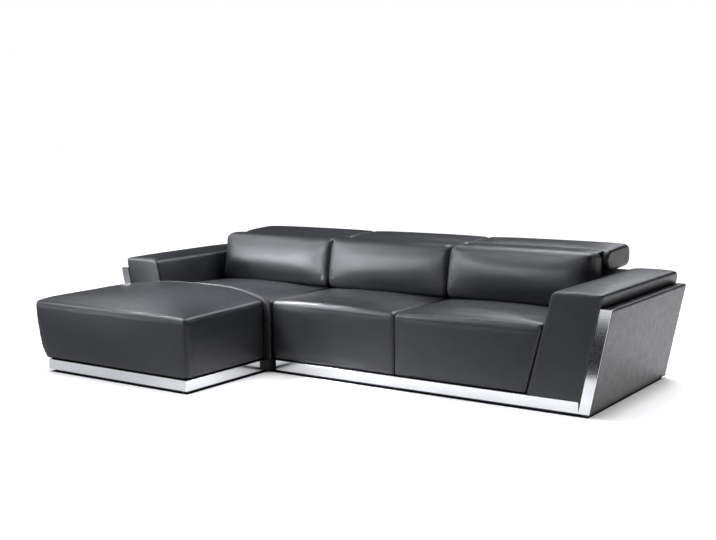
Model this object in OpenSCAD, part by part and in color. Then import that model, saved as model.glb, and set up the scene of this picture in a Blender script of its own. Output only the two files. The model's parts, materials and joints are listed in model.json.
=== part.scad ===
// Leather corner sofa: a chaise module on the left, a two-seat module on the right,
// leaning side panels edged in stainless steel and three flip-up ratchet headrests.
// X runs to the right, Y to the back and Z up, in millimetres.

/* [Base] */
// Height of the black glides that stand on the floor
glide_h = 8; // [5:1:20]
// Radius of a glide
glide_r = 20; // [12:1:28]
// Height of the black runner strips between glides and plinth
runner_h = 10; // [6:1:20]
// Width of a runner strip
runner_w = 44; // [42:1:60]
// Distance of a runner behind the face of the plinth
runner_inset = 14; // [4:1:24]
// Height of the stainless plinth
plinth_h = 60; // [40:1:90]
// Thickness of the stainless sheet
sheet_t = 2; // [1:0.5:4]
// Bend radius at the corners of the plinth
bend_r = 5; // [3:1:12]
// Width of the plinth battens
batten_w = 90; // [85:1:110]
// Distance of the front rail's left end from the line between the modules
rail_setback = 21; // [10:1:40]

/* [Seats] */
// Width of the middle seat, and the pitch of the seats
seat_w = 886; // [700:1:1000]
// Height of a seat's front crease above the floor
crease_z = 425; // [380:1:460]
// Rise of a seat from its front crease to its level top
seat_rise = 21; // [10:1:30]
// Run of the rounded front edge of a seat
seat_nose = 42; // [25:1:60]
// Crown in the middle of a seat
seat_crown = 29; // [10:1:45]
// Rise of the right seat's front crease towards the arm
seat_lift = 24; // [0:1:30]
// Distance from the seat fronts to the back cushions
seat_d = 556; // [480:1:600]
// Gap between neighbouring cushions
cushion_gap = 4; // [2:1:10]
// Thickness of a seat's upholstered front wall
seat_wall = 60; // [40:1:80]
// Height of the webbing above the floor
deck_z = 300; // [240:1:330]

/* [Chaise] */
// How far the chaise reaches in front of the seats
chaise_reach = 707; // [500:1:900]
// Distance of the chaise's right face to the left of the seam between left and middle seat
chaise_setback = 39; // [30:1:90]
// Distance of the chaise's left plinth face outside the side panel's foot
chaise_overhang = 36; // [10:1:60]
// How far the chaise's left top edge overhangs its plinth
chaise_flare = 119; // [60:1:140]
// How far the chaise's left side overhangs where it turns in
belly_flare = 74; // [40:1:100]
// Height where the chaise's left side turns in
belly_z = 150; // [120:1:240]
// How far the chaise's left side overhangs at its lower edge
hem_flare = 28; // [0:1:40]
// Crown of the chaise at its cross seam
chaise_crown = 66; // [30:1:90]
// Rise of the chaise's left edge above its right edge
chaise_rise = 14; // [0:1:20]
// Radius of the chaise's upright front corners
chaise_corner = 22; // [15:1:60]
// Where the cross seam lies in front of the seat fronts
seam_setback = 20; // [10:1:40]
// Where the right plinth return ends in front of the seat fronts
return_setback = 31; // [25:1:60]

/* [Arms] */
// Width of an arm at floor level, between its inner face and the side panel
arm_w = 314; // [280:1:360]
// Height of the arms above the floor
arm_z = 637; // [580:1:700]
// Crown on top of an arm
arm_crown = 13; // [4:1:25]
// Outward lean of an arm's inner face from the upright, in degrees
arm_angle = 14.3; // [8:0.1:17]
// Half width between the side panels' inner faces at the plinth's lower edge
panel_inner = 1561; // [1500:1:1600]
// Outward lean of the side panels from the upright, in degrees
panel_angle = 11.7; // [6:0.1:14]
// Thickness of a side panel, measured level
panel_t = 60; // [40:1:80]
// Height of the side panels' top edge above the floor
panel_z = 563; // [500:1:600]
// Thickness of the stainless upright
upright_t = 4; // [2:0.5:8]
// Length of the upright's lip over the panel's top edge
upright_lip = 26; // [10:1:60]

/* [Back] */
// Height of the back cushions' front top edge
back_z = 775; // [720:1:820]
// Fall of the back cushions' top towards the rear
back_fall = 22; // [5:1:40]
// Lean of the back cushions' front over their height
back_lean = 58; // [30:1:90]
// Depth of the back cushions at their foot
back_t = 250; // [200:1:280]
// Crown of the back cushions' front
back_crown = 32; // [10:1:50]
// Gap between the back cushions and an arm at seat level
arm_gap = 11; // [5:1:30]
// Depth of the back behind the cushions
back_deep = 294; // [270:1:330]
// Height of the back cover's top above the floor
shelf_z = 622; // [600:1:640]
// Thickness of the padded covers of back and arms
cover_t = 22; // [15:1:30]
// Thickness of the rear panels
rear_t = 12; // [8:1:20]

/* [Headrests] */
// Radius of the headrest's nose round the hinge axis
nose_r = 66; // [56:1:72]
// Gap between a headrest's nose and the shelf under it
nose_gap = 6; // [3:1:12]
// Gap between a headrest's nose and the back cushion
head_clear = 8; // [4:1:20]
// Distance from the hinge axis to the lowered headrests' rear edge
head_depth = 285; // [250:1:310]
// Height of the lowered headrests' rear top edge above the hinge axis
head_rise = 80; // [70:1:90]
// Crown on top of a headrest
head_crown = 12; // [4:1:24]
// How far the outer headrests reach past the back cushions
head_overhang = 18; // [0:1:30]
// Gap between neighbouring headrests
head_gap = 6; // [3:1:14]
// Distance of a hinge from the middle of its headrest
hinge_offset = 250; // [150:1:320]
// Radius of the hinge pins
pin_r = 5; // [3:0.5:7]
// Teeth on a ratchet disc
teeth = 6; // [3:1:8]
// Angle between the teeth of a ratchet disc
tooth_angle = 12.5; // [8:0.5:14]

/* [Timber] */
// Thickness of the frame boards
board_t = 22; // [16:1:28]
// Thickness of a headrest's board
head_board_t = 18; // [12:1:18]
// Width of a webbing strap
strap_w = 60; // [40:5:80]
// Free space between two webbing straps
strap_space = 45; // [20:5:90]

/* [Hidden] */

$fn = 48;
// Room left between soft pieces, and between a piece and what it fits into
soft_gap = 0.3;
pin_gap = 0.05;
joint_gap = 0.1;
crown_power = 2.8;

// Levels
runner_z = glide_h;
plinth_z = glide_h + runner_h;
base_z = plinth_z + plinth_h;
seat_z = crease_z + seat_rise;
strap_t = 2;
web_z = deck_z + strap_t + soft_gap;

// Rounding of the soft pieces' outlines
hem_r = 2;
chaise_edge_r = 24;
belly_r = 70;
side_crown = 5;

// Plan
seat_edge = seat_w / 2;
chaise_right = seat_edge + chaise_setback;
chaise_left = panel_inner + panel_t + chaise_overhang;
chaise_wide = max([for (p = chaise_outline(0, seat_z, 0, 0, 0.5)) -p.x]);
// Where the seats' crown peaks at the seam, as a share of the chaise's width from its right edge
seam_peak = ((arm_x(seat_z) + seat_edge) / 2 - chaise_right) / (chaise_wide - chaise_right);
chaise_front = -chaise_reach;
seam_y = -seam_setback;
return_y = -return_setback;
back_half = arm_x(seat_z) - arm_gap;
back_rear = seat_d + back_t;
rear_y = back_rear + back_deep;
hinge_y = back_rear + head_clear + nose_r;
hinge_z = shelf_z + nose_gap + nose_r;
head_half = back_half + head_overhang;
head_rear = hinge_y + head_depth;
head_z = hinge_z + head_rise;
panel_top = panel_x(panel_z) + panel_t;
mid_x = (panel_top - chaise_wide) / 2;
mid_y = (head_rear + chaise_front) / 2;
cover_rear = rear_y - rear_t;

// Ratchet hinge, along X from the hinge's middle
leg_t = 4;
disc_t = 6;
arm_t = 4;
disc_r = 22;
tooth_depth = 3;
first_tooth = 20;
ear_r = 16;
neck_half = 14;
eye_r = 14;
head_r = 8;
head_t = 3;
slot_half = 22;
slot_r = disc_r + 6;
arm_top = 8;
arm_reach = 150;
tab_t = 3;
tab_lap = 22;
board_start = 60;
pawl_y = 44;
pawl_z = 4;
pawl_r = 6;
pawl_pin_r = 2.5;
pawl_clear = 0.7;
pawl_side = 0.5;
rail_z = shelf_z - cover_t;
rail_h = 40;
rail_half = 35;
back_rail_h = 90;
foot_half = 30;
foot_t = 4;
foot_wide = 18;
screw_r = 3;
screw_l = 28;
screw_head_h = 3;
screw_head_r = 6;

// Where the three headrests lie: left and right edge
head_spans = [
    [-head_half, -seat_edge - head_gap / 2],
    [-seat_edge + head_gap / 2, seat_edge - head_gap / 2],
    [seat_edge + head_gap / 2, head_half]
];
back_spans = [
    [-back_half, -seat_edge - cushion_gap / 2],
    [-seat_edge + cushion_gap / 2, seat_edge - cushion_gap / 2],
    [seat_edge + cushion_gap / 2, back_half]
];

// Half widths that lean outwards with height
function arm_x(z) = panel_inner - arm_w + z * tan(arm_angle);
function panel_x(z) = panel_inner + (z - plinth_z) * tan(panel_angle);

function unit(v) = v / norm(v);

// The middle of the box round some points
function middle(points) = [for (axis = [0:2])
    let (values = [for (p = points) p[axis]])
    (max(values) + min(values)) / 2];

// The points of a round corner at b, between a and c
function fillet(a, b, c, r, n) =
    let (
        u = unit(a - b),
        w = unit(c - b),
        half = acos(u * w) / 2,
        centre = b + unit(u + w) * r / sin(half),
        from = b + u * r / tan(half) - centre,
        to = b + w * r / tan(half) - centre,
        start = atan2(from.y, from.x),
        turn = (atan2(to.y, to.x) - start + 3 * 180) % 360 - 180
    )
    [for (k = [0:n]) centre + r * [cos(start + turn * k / n), sin(start + turn * k / n)]];

// The points between a and b on a side that swells outwards by crown, most at its peak
function bulge(a, b, n, crown, peak) =
    let (out = unit([b.y - a.y, a.x - b.x]))
    [for (k = [1:1:n - 1])
        let (t = k / n, s = t < peak ? t / peak - 1 : (t - peak) / (1 - peak))
        a + (b - a) * t + out * crown * (1 - pow(abs(s), crown_power))];

// A closed outline with rounded corners and crowned sides, anticlockwise.
// Each corner is [point, radius, arc steps, steps of the side after it, crown of that side],
// and where the crown's peak is not in the middle of the side, its share of the side's length.
function outline(corners) =
    let (
        n = len(corners),
        spots = [for (c = corners) c[0]],
        bends = [for (i = [0:n - 1])
            fillet(spots[(i + n - 1) % n], spots[i], spots[(i + 1) % n], corners[i][1], corners[i][2])]
    )
    [for (i = [0:n - 1]) each concat(
        bends[i],
        bulge(bends[i][corners[i][2]], bends[(i + 1) % n][0], corners[i][3], corners[i][4],
            is_undef(corners[i][5]) ? 0.5 : corners[i][5]))];

// How far an edge of radius r draws in at a distance t from the end
function drawn_in(t, r) = t >= r ? 0 : r - sqrt(r * r - (r - t) * (r - t));

// Stations along an end that is rounded by r, as distances from the end
function end_steps(r, n) = [for (k = [0:n]) r * (1 - cos(90 * k / n))];

// A closed solid through rings that have the same number of points
module loft(rings) {
    n = len(rings[0]);
    m = len(rings);
    points = concat([for (ring = rings) each ring], [middle(rings[0]), middle(rings[m - 1])]);
    walls = [for (j = [0:m - 2]) for (i = [0:n - 1])
        let (a = j * n + i, b = j * n + (i + 1) % n)
        each [[a, b + n, b], [a, a + n, b + n]]];
    first = [for (i = [0:n - 1]) [i, (i + 1) % n, m * n]];
    last = [for (i = [0:n - 1]) [(m - 1) * n + (i + 1) % n, (m - 1) * n + i, m * n + 1]];
    polyhedron(points, concat(walls, first, last));
}

module place() {
    translate([-mid_x, -mid_y, 0])
        children();
}

// A box from its low corner to its high corner
module block(low, high) {
    translate(low)
        cube(high - low);
}

// A timber board, a hair short of its neighbours in plan
module board(low, high) {
    block([low.x + joint_gap, low.y + joint_gap, low.z], [high.x - joint_gap, high.y - joint_gap, high.z]);
}

// A disc or pin along X
module rod(x0, x1, y, z, r) {
    translate([x0, y, z])
        rotate([0, 90, 0])
            cylinder(h = x1 - x0, r = r);
}

// A profile in X and Z, extruded along Y
module along_y(y0, y1) {
    translate([0, y1, 0])
        rotate([90, 0, 0])
            linear_extrude(y1 - y0)
                children();
}

// A profile in Y and Z, extruded along X
module along_x(x0, x1) {
    translate([x0, 0, 0])
        rotate([90, 0, 90])
            linear_extrude(x1 - x0)
                children();
}

module leather() {
    color("#3d3e42")
        place()
            children();
}

module steel() {
    color("silver")
        place()
            children();
}

module timber() {
    color("burlywood")
        place()
            children();
}

module black() {
    color("#1b1b1d")
        place()
            children();
}

// Base: glides, runners, plinths and battens

module glides(spots) {
    for (spot = spots)
        translate([spot.x, spot.y, 0])
            cylinder(h = glide_h, r = glide_r);
}

edge_in = runner_inset + runner_w / 2;
batten_setback = 50;
batten_rear = rear_y - batten_setback;
cross_batten_y = -batten_w;
module_gap = 4;
module_left_x = -seat_edge - module_gap / 2;
module_right_x = -seat_edge + module_gap / 2;
rail_start = module_right_x + rail_setback;
panel_glide = panel_inner + panel_t / 2;
glide_end = 60;
runner_end = 30;
runner_short = 8;

module chaise_glides() {
    black()
        glides([
            [-chaise_left + glide_end + runner_end, chaise_front + edge_in],
            [-chaise_right - edge_in, chaise_front + edge_in],
            [-chaise_right - edge_in, return_y - edge_in],
            [-panel_glide, glide_end],
            [-panel_glide, rear_y - glide_end],
            [module_left_x - edge_in, batten_rear - edge_in]
        ]);
}

module sofa_glides() {
    black()
        glides([
            [rail_start + runner_short + edge_in, edge_in],
            [seat_edge, edge_in],
            [panel_glide, edge_in],
            [panel_glide, rear_y - glide_end],
            [module_right_x + edge_in, batten_rear - edge_in]
        ]);
}

module chaise_runners() {
    black() {
        block([-chaise_left + glide_end, chaise_front + runner_inset, runner_z],
            [-chaise_right - runner_inset, chaise_front + runner_inset + runner_w, plinth_z]);
        block([-chaise_right - runner_inset - runner_w, chaise_front + runner_inset + runner_w, runner_z],
            [-chaise_right - runner_inset, return_y - runner_short, plinth_z]);
        block([-panel_glide - runner_w / 2, runner_inset, runner_z],
            [-panel_glide + runner_w / 2, rear_y - runner_end, plinth_z]);
        block([module_left_x - runner_inset - runner_w, return_y + runner_inset, runner_z],
            [module_left_x - runner_inset, batten_rear - runner_short, plinth_z]);
    }
}

module sofa_runners() {
    black() {
        block([rail_start + runner_short, runner_inset, runner_z],
            [panel_inner - runner_short, runner_inset + runner_w, plinth_z]);
        block([panel_glide - runner_w / 2, runner_inset, runner_z],
            [panel_glide + runner_w / 2, rear_y - runner_end, plinth_z]);
        block([module_right_x + runner_inset, batten_w + runner_inset, runner_z],
            [module_right_x + runner_inset + runner_w, batten_rear - runner_short, plinth_z]);
    }
}

// Rounded plan rectangle from corner to corner
module round_plan(x0, y0, x1, y1, r) {
    translate([x0 + r, y0 + r])
        square([x1 - x0 - 2 * r, y1 - y0 - 2 * r]);
    for (x = [x0 + r, x1 - r]) for (y = [y0 + r, y1 - r])
        translate([x, y])
            circle(r);
    translate([x0, y0 + r])
        square([x1 - x0, y1 - y0 - 2 * r]);
    translate([x0 + r, y0])
        square([x1 - x0 - 2 * r, y1 - y0]);
}

// Strips of stainless sheet: the front is bent round both corners, the sides butt against it
module chaise_plinth() {
    bend_end = chaise_front + bend_r;
    past = chaise_front + 6 * bend_r;
    steel()
        translate([0, 0, plinth_z])
            linear_extrude(plinth_h) {
                difference() {
                    round_plan(-chaise_left, chaise_front, -chaise_right, past - bend_r, bend_r);
                    round_plan(-chaise_left + sheet_t, chaise_front + sheet_t, -chaise_right - sheet_t,
                        past, bend_r - sheet_t);
                    translate([-chaise_left - 1, bend_end])
                        square([chaise_left - chaise_right + 2, 6 * bend_r]);
                }
                for (x = [-chaise_left, -chaise_right - sheet_t])
                    translate([x, bend_end + joint_gap])
                        square([sheet_t, return_y - bend_end - joint_gap]);
            }
}

// The front rail with a short bend at its left end
module sofa_plinth() {
    bend_end = batten_w / 2;
    past = panel_inner + batten_w;
    steel()
        translate([0, 0, plinth_z])
            linear_extrude(plinth_h)
                difference() {
                    round_plan(rail_start, 0, past, batten_w, bend_r);
                    round_plan(rail_start + sheet_t, sheet_t, past + batten_w, 2 * batten_w,
                        bend_r - sheet_t);
                    translate([rail_start - 1, bend_end])
                        square([2 * panel_inner, batten_w]);
                    translate([panel_inner, -1])
                        square([2 * batten_w, batten_w]);
                }
}

module chaise_battens() {
    z0 = plinth_z;
    z1 = base_z;
    front = chaise_front + sheet_t;
    left = -chaise_left + sheet_t;
    right = -chaise_right - sheet_t;
    arm_side = -panel_inner + soft_gap;
    timber() {
        board([left + bend_r, front, z0], [right - bend_r, front + batten_w, z1]);
        board([left, front + batten_w, z0], [left + batten_w, cross_batten_y, z1]);
        board([right - batten_w, front + batten_w, z0], [right, return_y, z1]);
        board([left, cross_batten_y, z0], [right - batten_w, -soft_gap, z1]);
        board([module_left_x - batten_w, return_y, z0], [module_left_x, batten_rear, z1]);
        board([arm_side, -soft_gap, z0], [arm_side + batten_w, batten_rear, z1]);
        board([arm_side + batten_w, batten_rear - batten_w, z0],
            [module_left_x - batten_w, batten_rear, z1]);
    }
}

module sofa_battens() {
    z0 = plinth_z;
    z1 = base_z;
    left = rail_start + sheet_t;
    right = panel_inner - soft_gap;
    timber() {
        board([left + bend_r, sheet_t, z0], [right, batten_w, z1]);
        board([module_right_x, batten_w, z0], [module_right_x + batten_w, batten_rear, z1]);
        board([right - batten_w, batten_w, z0], [right, batten_rear, z1]);
        board([seat_edge - batten_w / 2, batten_w, z0],
            [seat_edge + batten_w / 2, batten_rear - batten_w, z1]);
        board([module_right_x + batten_w, batten_rear - batten_w, z0], [right - batten_w, batten_rear, z1]);
    }
}

// Base frames: upright boards on the battens, with the webbing on their top edges

frame_rear = back_rear;
cross_y = seam_y + soft_gap;
cross_t = seam_setback - 2 * soft_gap;
facing_t = 9;
link_space = 22;
side_room = 6;

module chaise_base_frame() {
    t = board_t;
    left = -chaise_left + seat_wall + side_room;
    right = -chaise_right - seat_wall;
    front = chaise_front + seat_wall + soft_gap;
    cross = cross_y;
    inner = module_left_x - link_space / 2;
    outer = -arm_x(base_z) + side_room;
    z0 = base_z;
    z1 = deck_z;
    timber() {
        board([left, front, z0], [right, front + t, z1]);
        board([left, front + t, z0], [left + t, cross, z1]);
        board([right - t, front + t, z0], [right, cross, z1]);
        board([left, cross, z0], [-chaise_right, cross + cross_t, z1]);
        board([-chaise_right, cross + facing_t + soft_gap, z0], [inner, cross + cross_t, z1]);
        board([outer, cross + cross_t, z0], [outer + t, frame_rear, z1]);
        board([inner - t, cross + cross_t, z0], [inner, frame_rear, z1]);
        board([outer + t, frame_rear - t, z0], [inner - t, frame_rear, z1]);
    }
}

module sofa_base_frame() {
    t = board_t;
    left = module_right_x + link_space / 2;
    right = arm_x(base_z) - side_room;
    front = seat_wall + soft_gap;
    z0 = base_z;
    z1 = deck_z;
    timber() {
        board([left, front, z0], [right, front + t, z1]);
        board([left, front + t, z0], [left + t, frame_rear, z1]);
        board([right - t, front + t, z0], [right, frame_rear, z1]);
        board([seat_edge - t / 2, front + t, z0], [seat_edge + t / 2, frame_rear - t, z1]);
        board([left + t, frame_rear - t, z0], [right - t, frame_rear, z1]);
    }
}

// Elastic straps from front to back, stapled to the top edges of the boards
module straps(x0, x1, y0, y1) {
    pitch = strap_w + strap_space;
    count = floor((x1 - x0 + strap_space) / pitch);
    start = (x0 + x1 - count * pitch + strap_space) / 2;
    for (i = [0:count - 1])
        block([start + i * pitch, y0, deck_z], [start + i * pitch + strap_w, y1, deck_z + strap_t]);
}

strap_edge = 45;
staple_in = 4;

module chaise_webbing() {
    black() {
        straps(-chaise_left + seat_wall + strap_edge, -chaise_right - seat_wall - strap_edge,
            chaise_front + seat_wall + staple_in, cross_y + (cross_t - staple_in) / 2);
        straps(-arm_x(base_z) + strap_edge, module_left_x - strap_edge,
            cross_y + (cross_t + staple_in) / 2, frame_rear - staple_in);
    }
}

module sofa_webbing() {
    black() {
        straps(module_right_x + strap_edge, seat_edge - strap_edge,
            seat_wall + staple_in, frame_rear - staple_in);
        straps(seat_edge + strap_edge, arm_x(base_z) - strap_edge,
            seat_wall + staple_in, frame_rear - staple_in);
    }
}

// Black cloth stapled under the frames, inside the ring of battens
cloth_t = 1;

module chaise_dust_cover() {
    black() {
        block([-chaise_left + sheet_t + batten_w, chaise_front + sheet_t + batten_w, base_z - cloth_t],
            [-chaise_right - sheet_t - batten_w, cross_batten_y, base_z]);
        block([-panel_inner + soft_gap + batten_w, 0, base_z - cloth_t],
            [module_left_x - batten_w, batten_rear - batten_w, base_z]);
    }
}

module sofa_dust_cover() {
    inner = [module_right_x + batten_w, seat_edge + batten_w / 2];
    outer = [seat_edge - batten_w / 2, panel_inner - soft_gap - batten_w];
    black()
        for (i = [0:1])
            block([inner[i], batten_w, base_z - cloth_t], [outer[i], batten_rear - batten_w, base_z]);
}

// Seats

// Level of a seat's top edge, y behind its front face
function nose_level(y) =
    let (t = min(1, max(0, y) / seat_nose))
    crease_z + seat_rise * sqrt(1 - (1 - t) * (1 - t));

// Share of the crown at y: it swells behind the front edge and dies out under the back cushions
crown_run = 150;
function crown_share(y) =
    sin(90 * min(1, max(0, y) / crown_run))
    * (1 - pow(sin(90 * min(1, max(0, y - 0.8 * seat_d) / (0.22 * seat_d))), 2));

seat_edge_r = 24;

// Where a side that runs from low at the base to high at seat_z has got to at z
function leaning(low, high, z) = low + (high - low) * (z - base_z) / (seat_z - base_z);

// A seat's outline; its right top edge is higher by lift
function seat_outline(left_low, left_high, right_low, right_high, top, crown, lift = 0) =
    outline([
        [[left_low, base_z + soft_gap], hem_r, 1, 1, 0],
        [[right_low, base_z + soft_gap], hem_r, 1, 3, 0],
        [[leaning(right_low, right_high, top + lift), top + lift], seat_edge_r, 4, 12, crown],
        [[leaning(left_low, left_high, top), top], seat_edge_r, 4, 3, 0]
    ]);

// Stations from the seat's front face to its rear, closer together where the crown dies out
crown_end = 0.8 * seat_d;
seat_stops = concat(
    [for (t = [0, 0.03, 0.1, 0.24, 0.52, 1]) t * seat_nose],
    [for (t = [0.18, 0.34, 0.58, 0.83, 1]) t * crown_end],
    [for (t = [0.3, 0.6, 0.85, 1, 1.3]) crown_end + t * 0.22 * seat_d],
    [back_rear]
);

// The seam at a seat's upright front edges draws in by this much
seam_r = 9;

module seat_block(left_low, left_high, right_low, right_high, lift) {
    loft([for (y = seat_stops)
        let (e = drawn_in(y, seam_r))
        [for (p = seat_outline(left_low + e, left_high + e, right_low - e, right_high - e,
            nose_level(y), seat_crown * crown_share(y), lift * max(0, 1 - y / crown_end)))
            [p.x, y, p.y]]]);
}

// The room under a seat for its frame and webbing
module seat_room(x0, x1, y0) {
    block([x0, y0, base_z - 1], [x1, back_rear + 1, web_z]);
}

module seat_pad_left() {
    left_low = -arm_x(base_z) + soft_gap;
    left_high = -arm_x(seat_z) + soft_gap;
    right = module_left_x + 1;
    stops = [for (y = seat_stops) if (y == 0 || y > seat_nose) y];
    leather()
        difference() {
            loft([for (y = concat([cross_y], stops))
                let (
                    fade = min(1, max(0, y) / seat_d),
                    crown = chaise_crown + (seat_crown - chaise_crown) * fade,
                    share = y > crown_end ? crown_share(y) : 1
                )
                [for (p = seat_outline(left_low, left_high, right, right, seat_z, crown * share))
                    [p.x, y, p.y]]]);
            seat_room(left_high - seat_wall, -chaise_right, seam_y - 1);
            seat_room(-chaise_right - 1, right + 1, cross_y + facing_t);
        }
}

module seat_pad_middle() {
    left = module_right_x - 1;
    right = seat_edge - soft_gap / 2;
    leather()
        difference() {
            seat_block(left, left, right, right, 0);
            seat_room(left - 1, right + 1, seat_wall);
        }
}

module seat_pad_right() {
    low = arm_x(base_z) - soft_gap;
    high = arm_x(seat_z) - soft_gap;
    left = seat_edge + soft_gap / 2;
    leather()
        difference() {
            seat_block(left, left, low, high, seat_lift);
            seat_room(left - 1, high + seat_wall, seat_wall);
        }
}

edge_lift = 8;
edge_run = 20;

// The chaise's front block: its left side leans out and its top rises to the cross seam
function chaise_outline(e, top, left_rise, crown, peak) =
    let (right = -chaise_right - e)
    outline([
        [[-chaise_left - hem_flare + e, base_z + soft_gap], hem_r, 1, 1, 0],
        [[right, base_z + soft_gap], hem_r, 1, 3, 0],
        [[right, top], chaise_edge_r, 4, 14, crown, peak],
        [[-chaise_left - chaise_flare + e, top + left_rise], chaise_edge_r, 4, 4, side_crown],
        [[-chaise_left - belly_flare + e, belly_z], belly_r, 3, 1, 0]
    ]);

chaise_steps = 7;
chaise_stops = concat(
    [for (t = end_steps(chaise_corner, 4)) chaise_front + t],
    [for (k = [1:chaise_steps])
        chaise_front + chaise_corner + (chaise_reach - chaise_corner - seam_setback) * k / chaise_steps]
);

module chaise_pad() {
    leather()
        difference() {
            loft([for (y = chaise_stops)
                let (
                    t = y - chaise_front,
                    share = t / (chaise_reach - seam_setback),
                    top = crease_z + (seat_rise - edge_lift) * share + edge_lift * (1 - exp(-t / edge_run)),
                    left_rise = chaise_rise * (1 - exp(-t / edge_run)) * (1 - share * share),
                    crown = chaise_crown * pow(sin(90 * share), 0.75)
                )
                [for (p = chaise_outline(drawn_in(t, chaise_corner), top, left_rise, crown,
                    0.5 + (seam_peak - 0.5) * share))
                    [p.x, y, p.y]]]);
            block([-chaise_left + seat_wall, chaise_front + seat_wall, base_z - 1],
                [-chaise_right - seat_wall + soft_gap, seam_y + 1, web_z]);
        }
}

// Arms and side panels, drawn on the right and mirrored to the left
arm_setback = 4;
arm_end = rear_y - arm_setback;

module arm_pad() {
    front_r = 8;
    rear_r = 40;
    inner_r = 34;
    outer_r = 16;
    front_run = 80;
    rear_run = 120;
    end = arm_end;
    stops = concat(
        end_steps(front_r, 3),
        [for (k = [1:4]) front_r + (end - front_r - rear_r) * k / 4],
        [for (t = end_steps(rear_r, 4)) if (t < rear_r) end - t]
    );
    sorted = [for (i = [0:len(stops) - 1]) i < 8 ? stops[i] : stops[len(stops) - 1 - (i - 8)]];
    difference() {
        loft([for (y = sorted)
            let (
                e = max(drawn_in(y, front_r), drawn_in(end - y, rear_r)),
                share = min(1, y / front_run) * min(1, (end - y) / rear_run)
            )
            [for (p = outline([
                [[arm_x(base_z), base_z + soft_gap], hem_r, 1, 1, 0],
                [[panel_x(base_z) - soft_gap, base_z + soft_gap], hem_r, 1, 2, 0],
                [[panel_x(arm_z - e) - soft_gap, arm_z - e], outer_r, 3, 8, arm_crown * share],
                [[arm_x(arm_z - e) + e / 2, arm_z - e], inner_r, 5, 2, 0]
            ])) [p.x, y, p.y]]]);
        along_y(cover_t, end - cover_t)
            polygon([
                [arm_x(base_z - 1) + cover_t, base_z - 1],
                [panel_x(base_z - 1) - cover_t, base_z - 1],
                [panel_x(arm_z - cover_t) - cover_t, arm_z - cover_t],
                [arm_x(arm_z - cover_t) + cover_t, arm_z - cover_t]
            ]);
    }
}

// Three leaning gables and a top board inside an arm
module arm_frame() {
    end = arm_end - cover_t - soft_gap;
    start = cover_t + soft_gap;
    top = arm_z - cover_t - soft_gap;
    step = (end - start - board_t) / 2;
    for (i = [0:2])
        along_y(start + i * step, start + i * step + board_t)
            polygon([
                [arm_x(base_z) + cover_t + soft_gap, base_z],
                [panel_x(base_z) - cover_t - soft_gap, base_z],
                [panel_x(top - board_t) - cover_t - soft_gap, top - board_t],
                [arm_x(top - board_t) + cover_t + soft_gap, top - board_t]
            ]);
    block([arm_x(top) + cover_t + soft_gap, start, top - board_t],
        [panel_x(top - board_t) - cover_t - soft_gap, end, top]);
}

// A leather-wrapped slab that leans out from the plinth's lower edge
module side_panel() {
    edge_r = 5;
    along_y(upright_t, rear_y)
        offset(edge_r)
            offset(-edge_r)
                polygon([
                    [panel_inner, plinth_z],
                    [panel_inner + panel_t, plinth_z],
                    [panel_x(panel_z) + panel_t, panel_z],
                    [panel_x(panel_z), panel_z]
                ]);
}

// Stainless strip on the panel's front edge, folded over its top
module upright() {
    lip_z = panel_z + sheet_t;
    along_y(0, upright_t)
        polygon([
            [panel_inner, plinth_z],
            [panel_inner + panel_t, plinth_z],
            [panel_x(panel_z) + panel_t, panel_z],
            [panel_x(panel_z), panel_z]
        ]);
    block([panel_x(lip_z), 0, panel_z], [panel_x(panel_z) + panel_t, upright_t + upright_lip, lip_z]);
}

module to_left() {
    mirror([1, 0, 0])
        children();
}

module right_arm_pad() {
    leather()
        arm_pad();
}

module left_arm_pad() {
    leather()
        to_left()
            arm_pad();
}

module right_arm_frame() {
    timber()
        arm_frame();
}

module left_arm_frame() {
    timber()
        to_left()
            arm_frame();
}

module right_side_panel() {
    leather()
        side_panel();
}

module left_side_panel() {
    leather()
        to_left()
            side_panel();
}

module right_upright() {
    steel()
        upright();
}

module left_upright() {
    steel()
        to_left()
            upright();
}

// Back: gabled frames, padded covers with slots for the hinge legs, and rear panels

// Middles of the hinges of one headrest
function hinges(span) = [for (side = [-1, 1]) (span[0] + span[1]) / 2 + side * hinge_offset];
left_hinges = hinges(head_spans[0]);
right_hinges = concat(hinges(head_spans[1]), hinges(head_spans[2]));
all_hinges = concat(left_hinges, right_hinges);
screw_spots = [-1, 1] * (foot_half - screw_head_r - foot_t);
gable_offset = 120;
gable_room = 2;

gable_front = back_rear + soft_gap + cover_t + soft_gap;
gable_rear = cover_rear - soft_gap;

module back_frame(x0, x1, gables, spots) {
    rail_low = rail_z - rail_h;
    for (x = gables)
        block([x - board_t / 2, gable_front, base_z], [x + board_t / 2, gable_rear, rail_low]);
    difference() {
        block([x0, hinge_y - rail_half, rail_low], [x1, hinge_y + rail_half, rail_z]);
        for (x = spots) for (dy = screw_spots)
            translate([x, hinge_y + dy, rail_z - screw_l])
                cylinder(h = screw_l + 1, r = screw_r + pin_gap);
    }
    block([x0, gable_rear - board_t, rail_z - back_rail_h], [x1, gable_rear, rail_z]);
}

module back_frame_left() {
    x0 = -arm_x(base_z) + cover_t + gable_room;
    x1 = module_left_x - cover_t - gable_room;
    gables = [x0 + board_t / 2, left_hinges[0] + gable_offset,
        left_hinges[1] - gable_offset, x1 - board_t / 2];
    timber()
        back_frame(x0, x1, gables, left_hinges);
}

module back_frame_right() {
    x0 = module_right_x + cover_t + gable_room;
    x1 = arm_x(base_z) - cover_t - gable_room;
    gables = [x0 + board_t / 2, 0, seat_edge, (seat_edge + x1) / 2, x1 - board_t / 2];
    timber()
        back_frame(x0, x1, gables, right_hinges);
}

// Outline of a back seen from the front; its outer side leans with the arm
module back_outline(inner, top, inset) {
    polygon([
        [inner + inset, base_z - 1],
        [arm_x(base_z - 1) - soft_gap - inset, base_z - 1],
        [arm_x(top) - soft_gap - inset, top],
        [inner + inset, top]
    ]);
}

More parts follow.
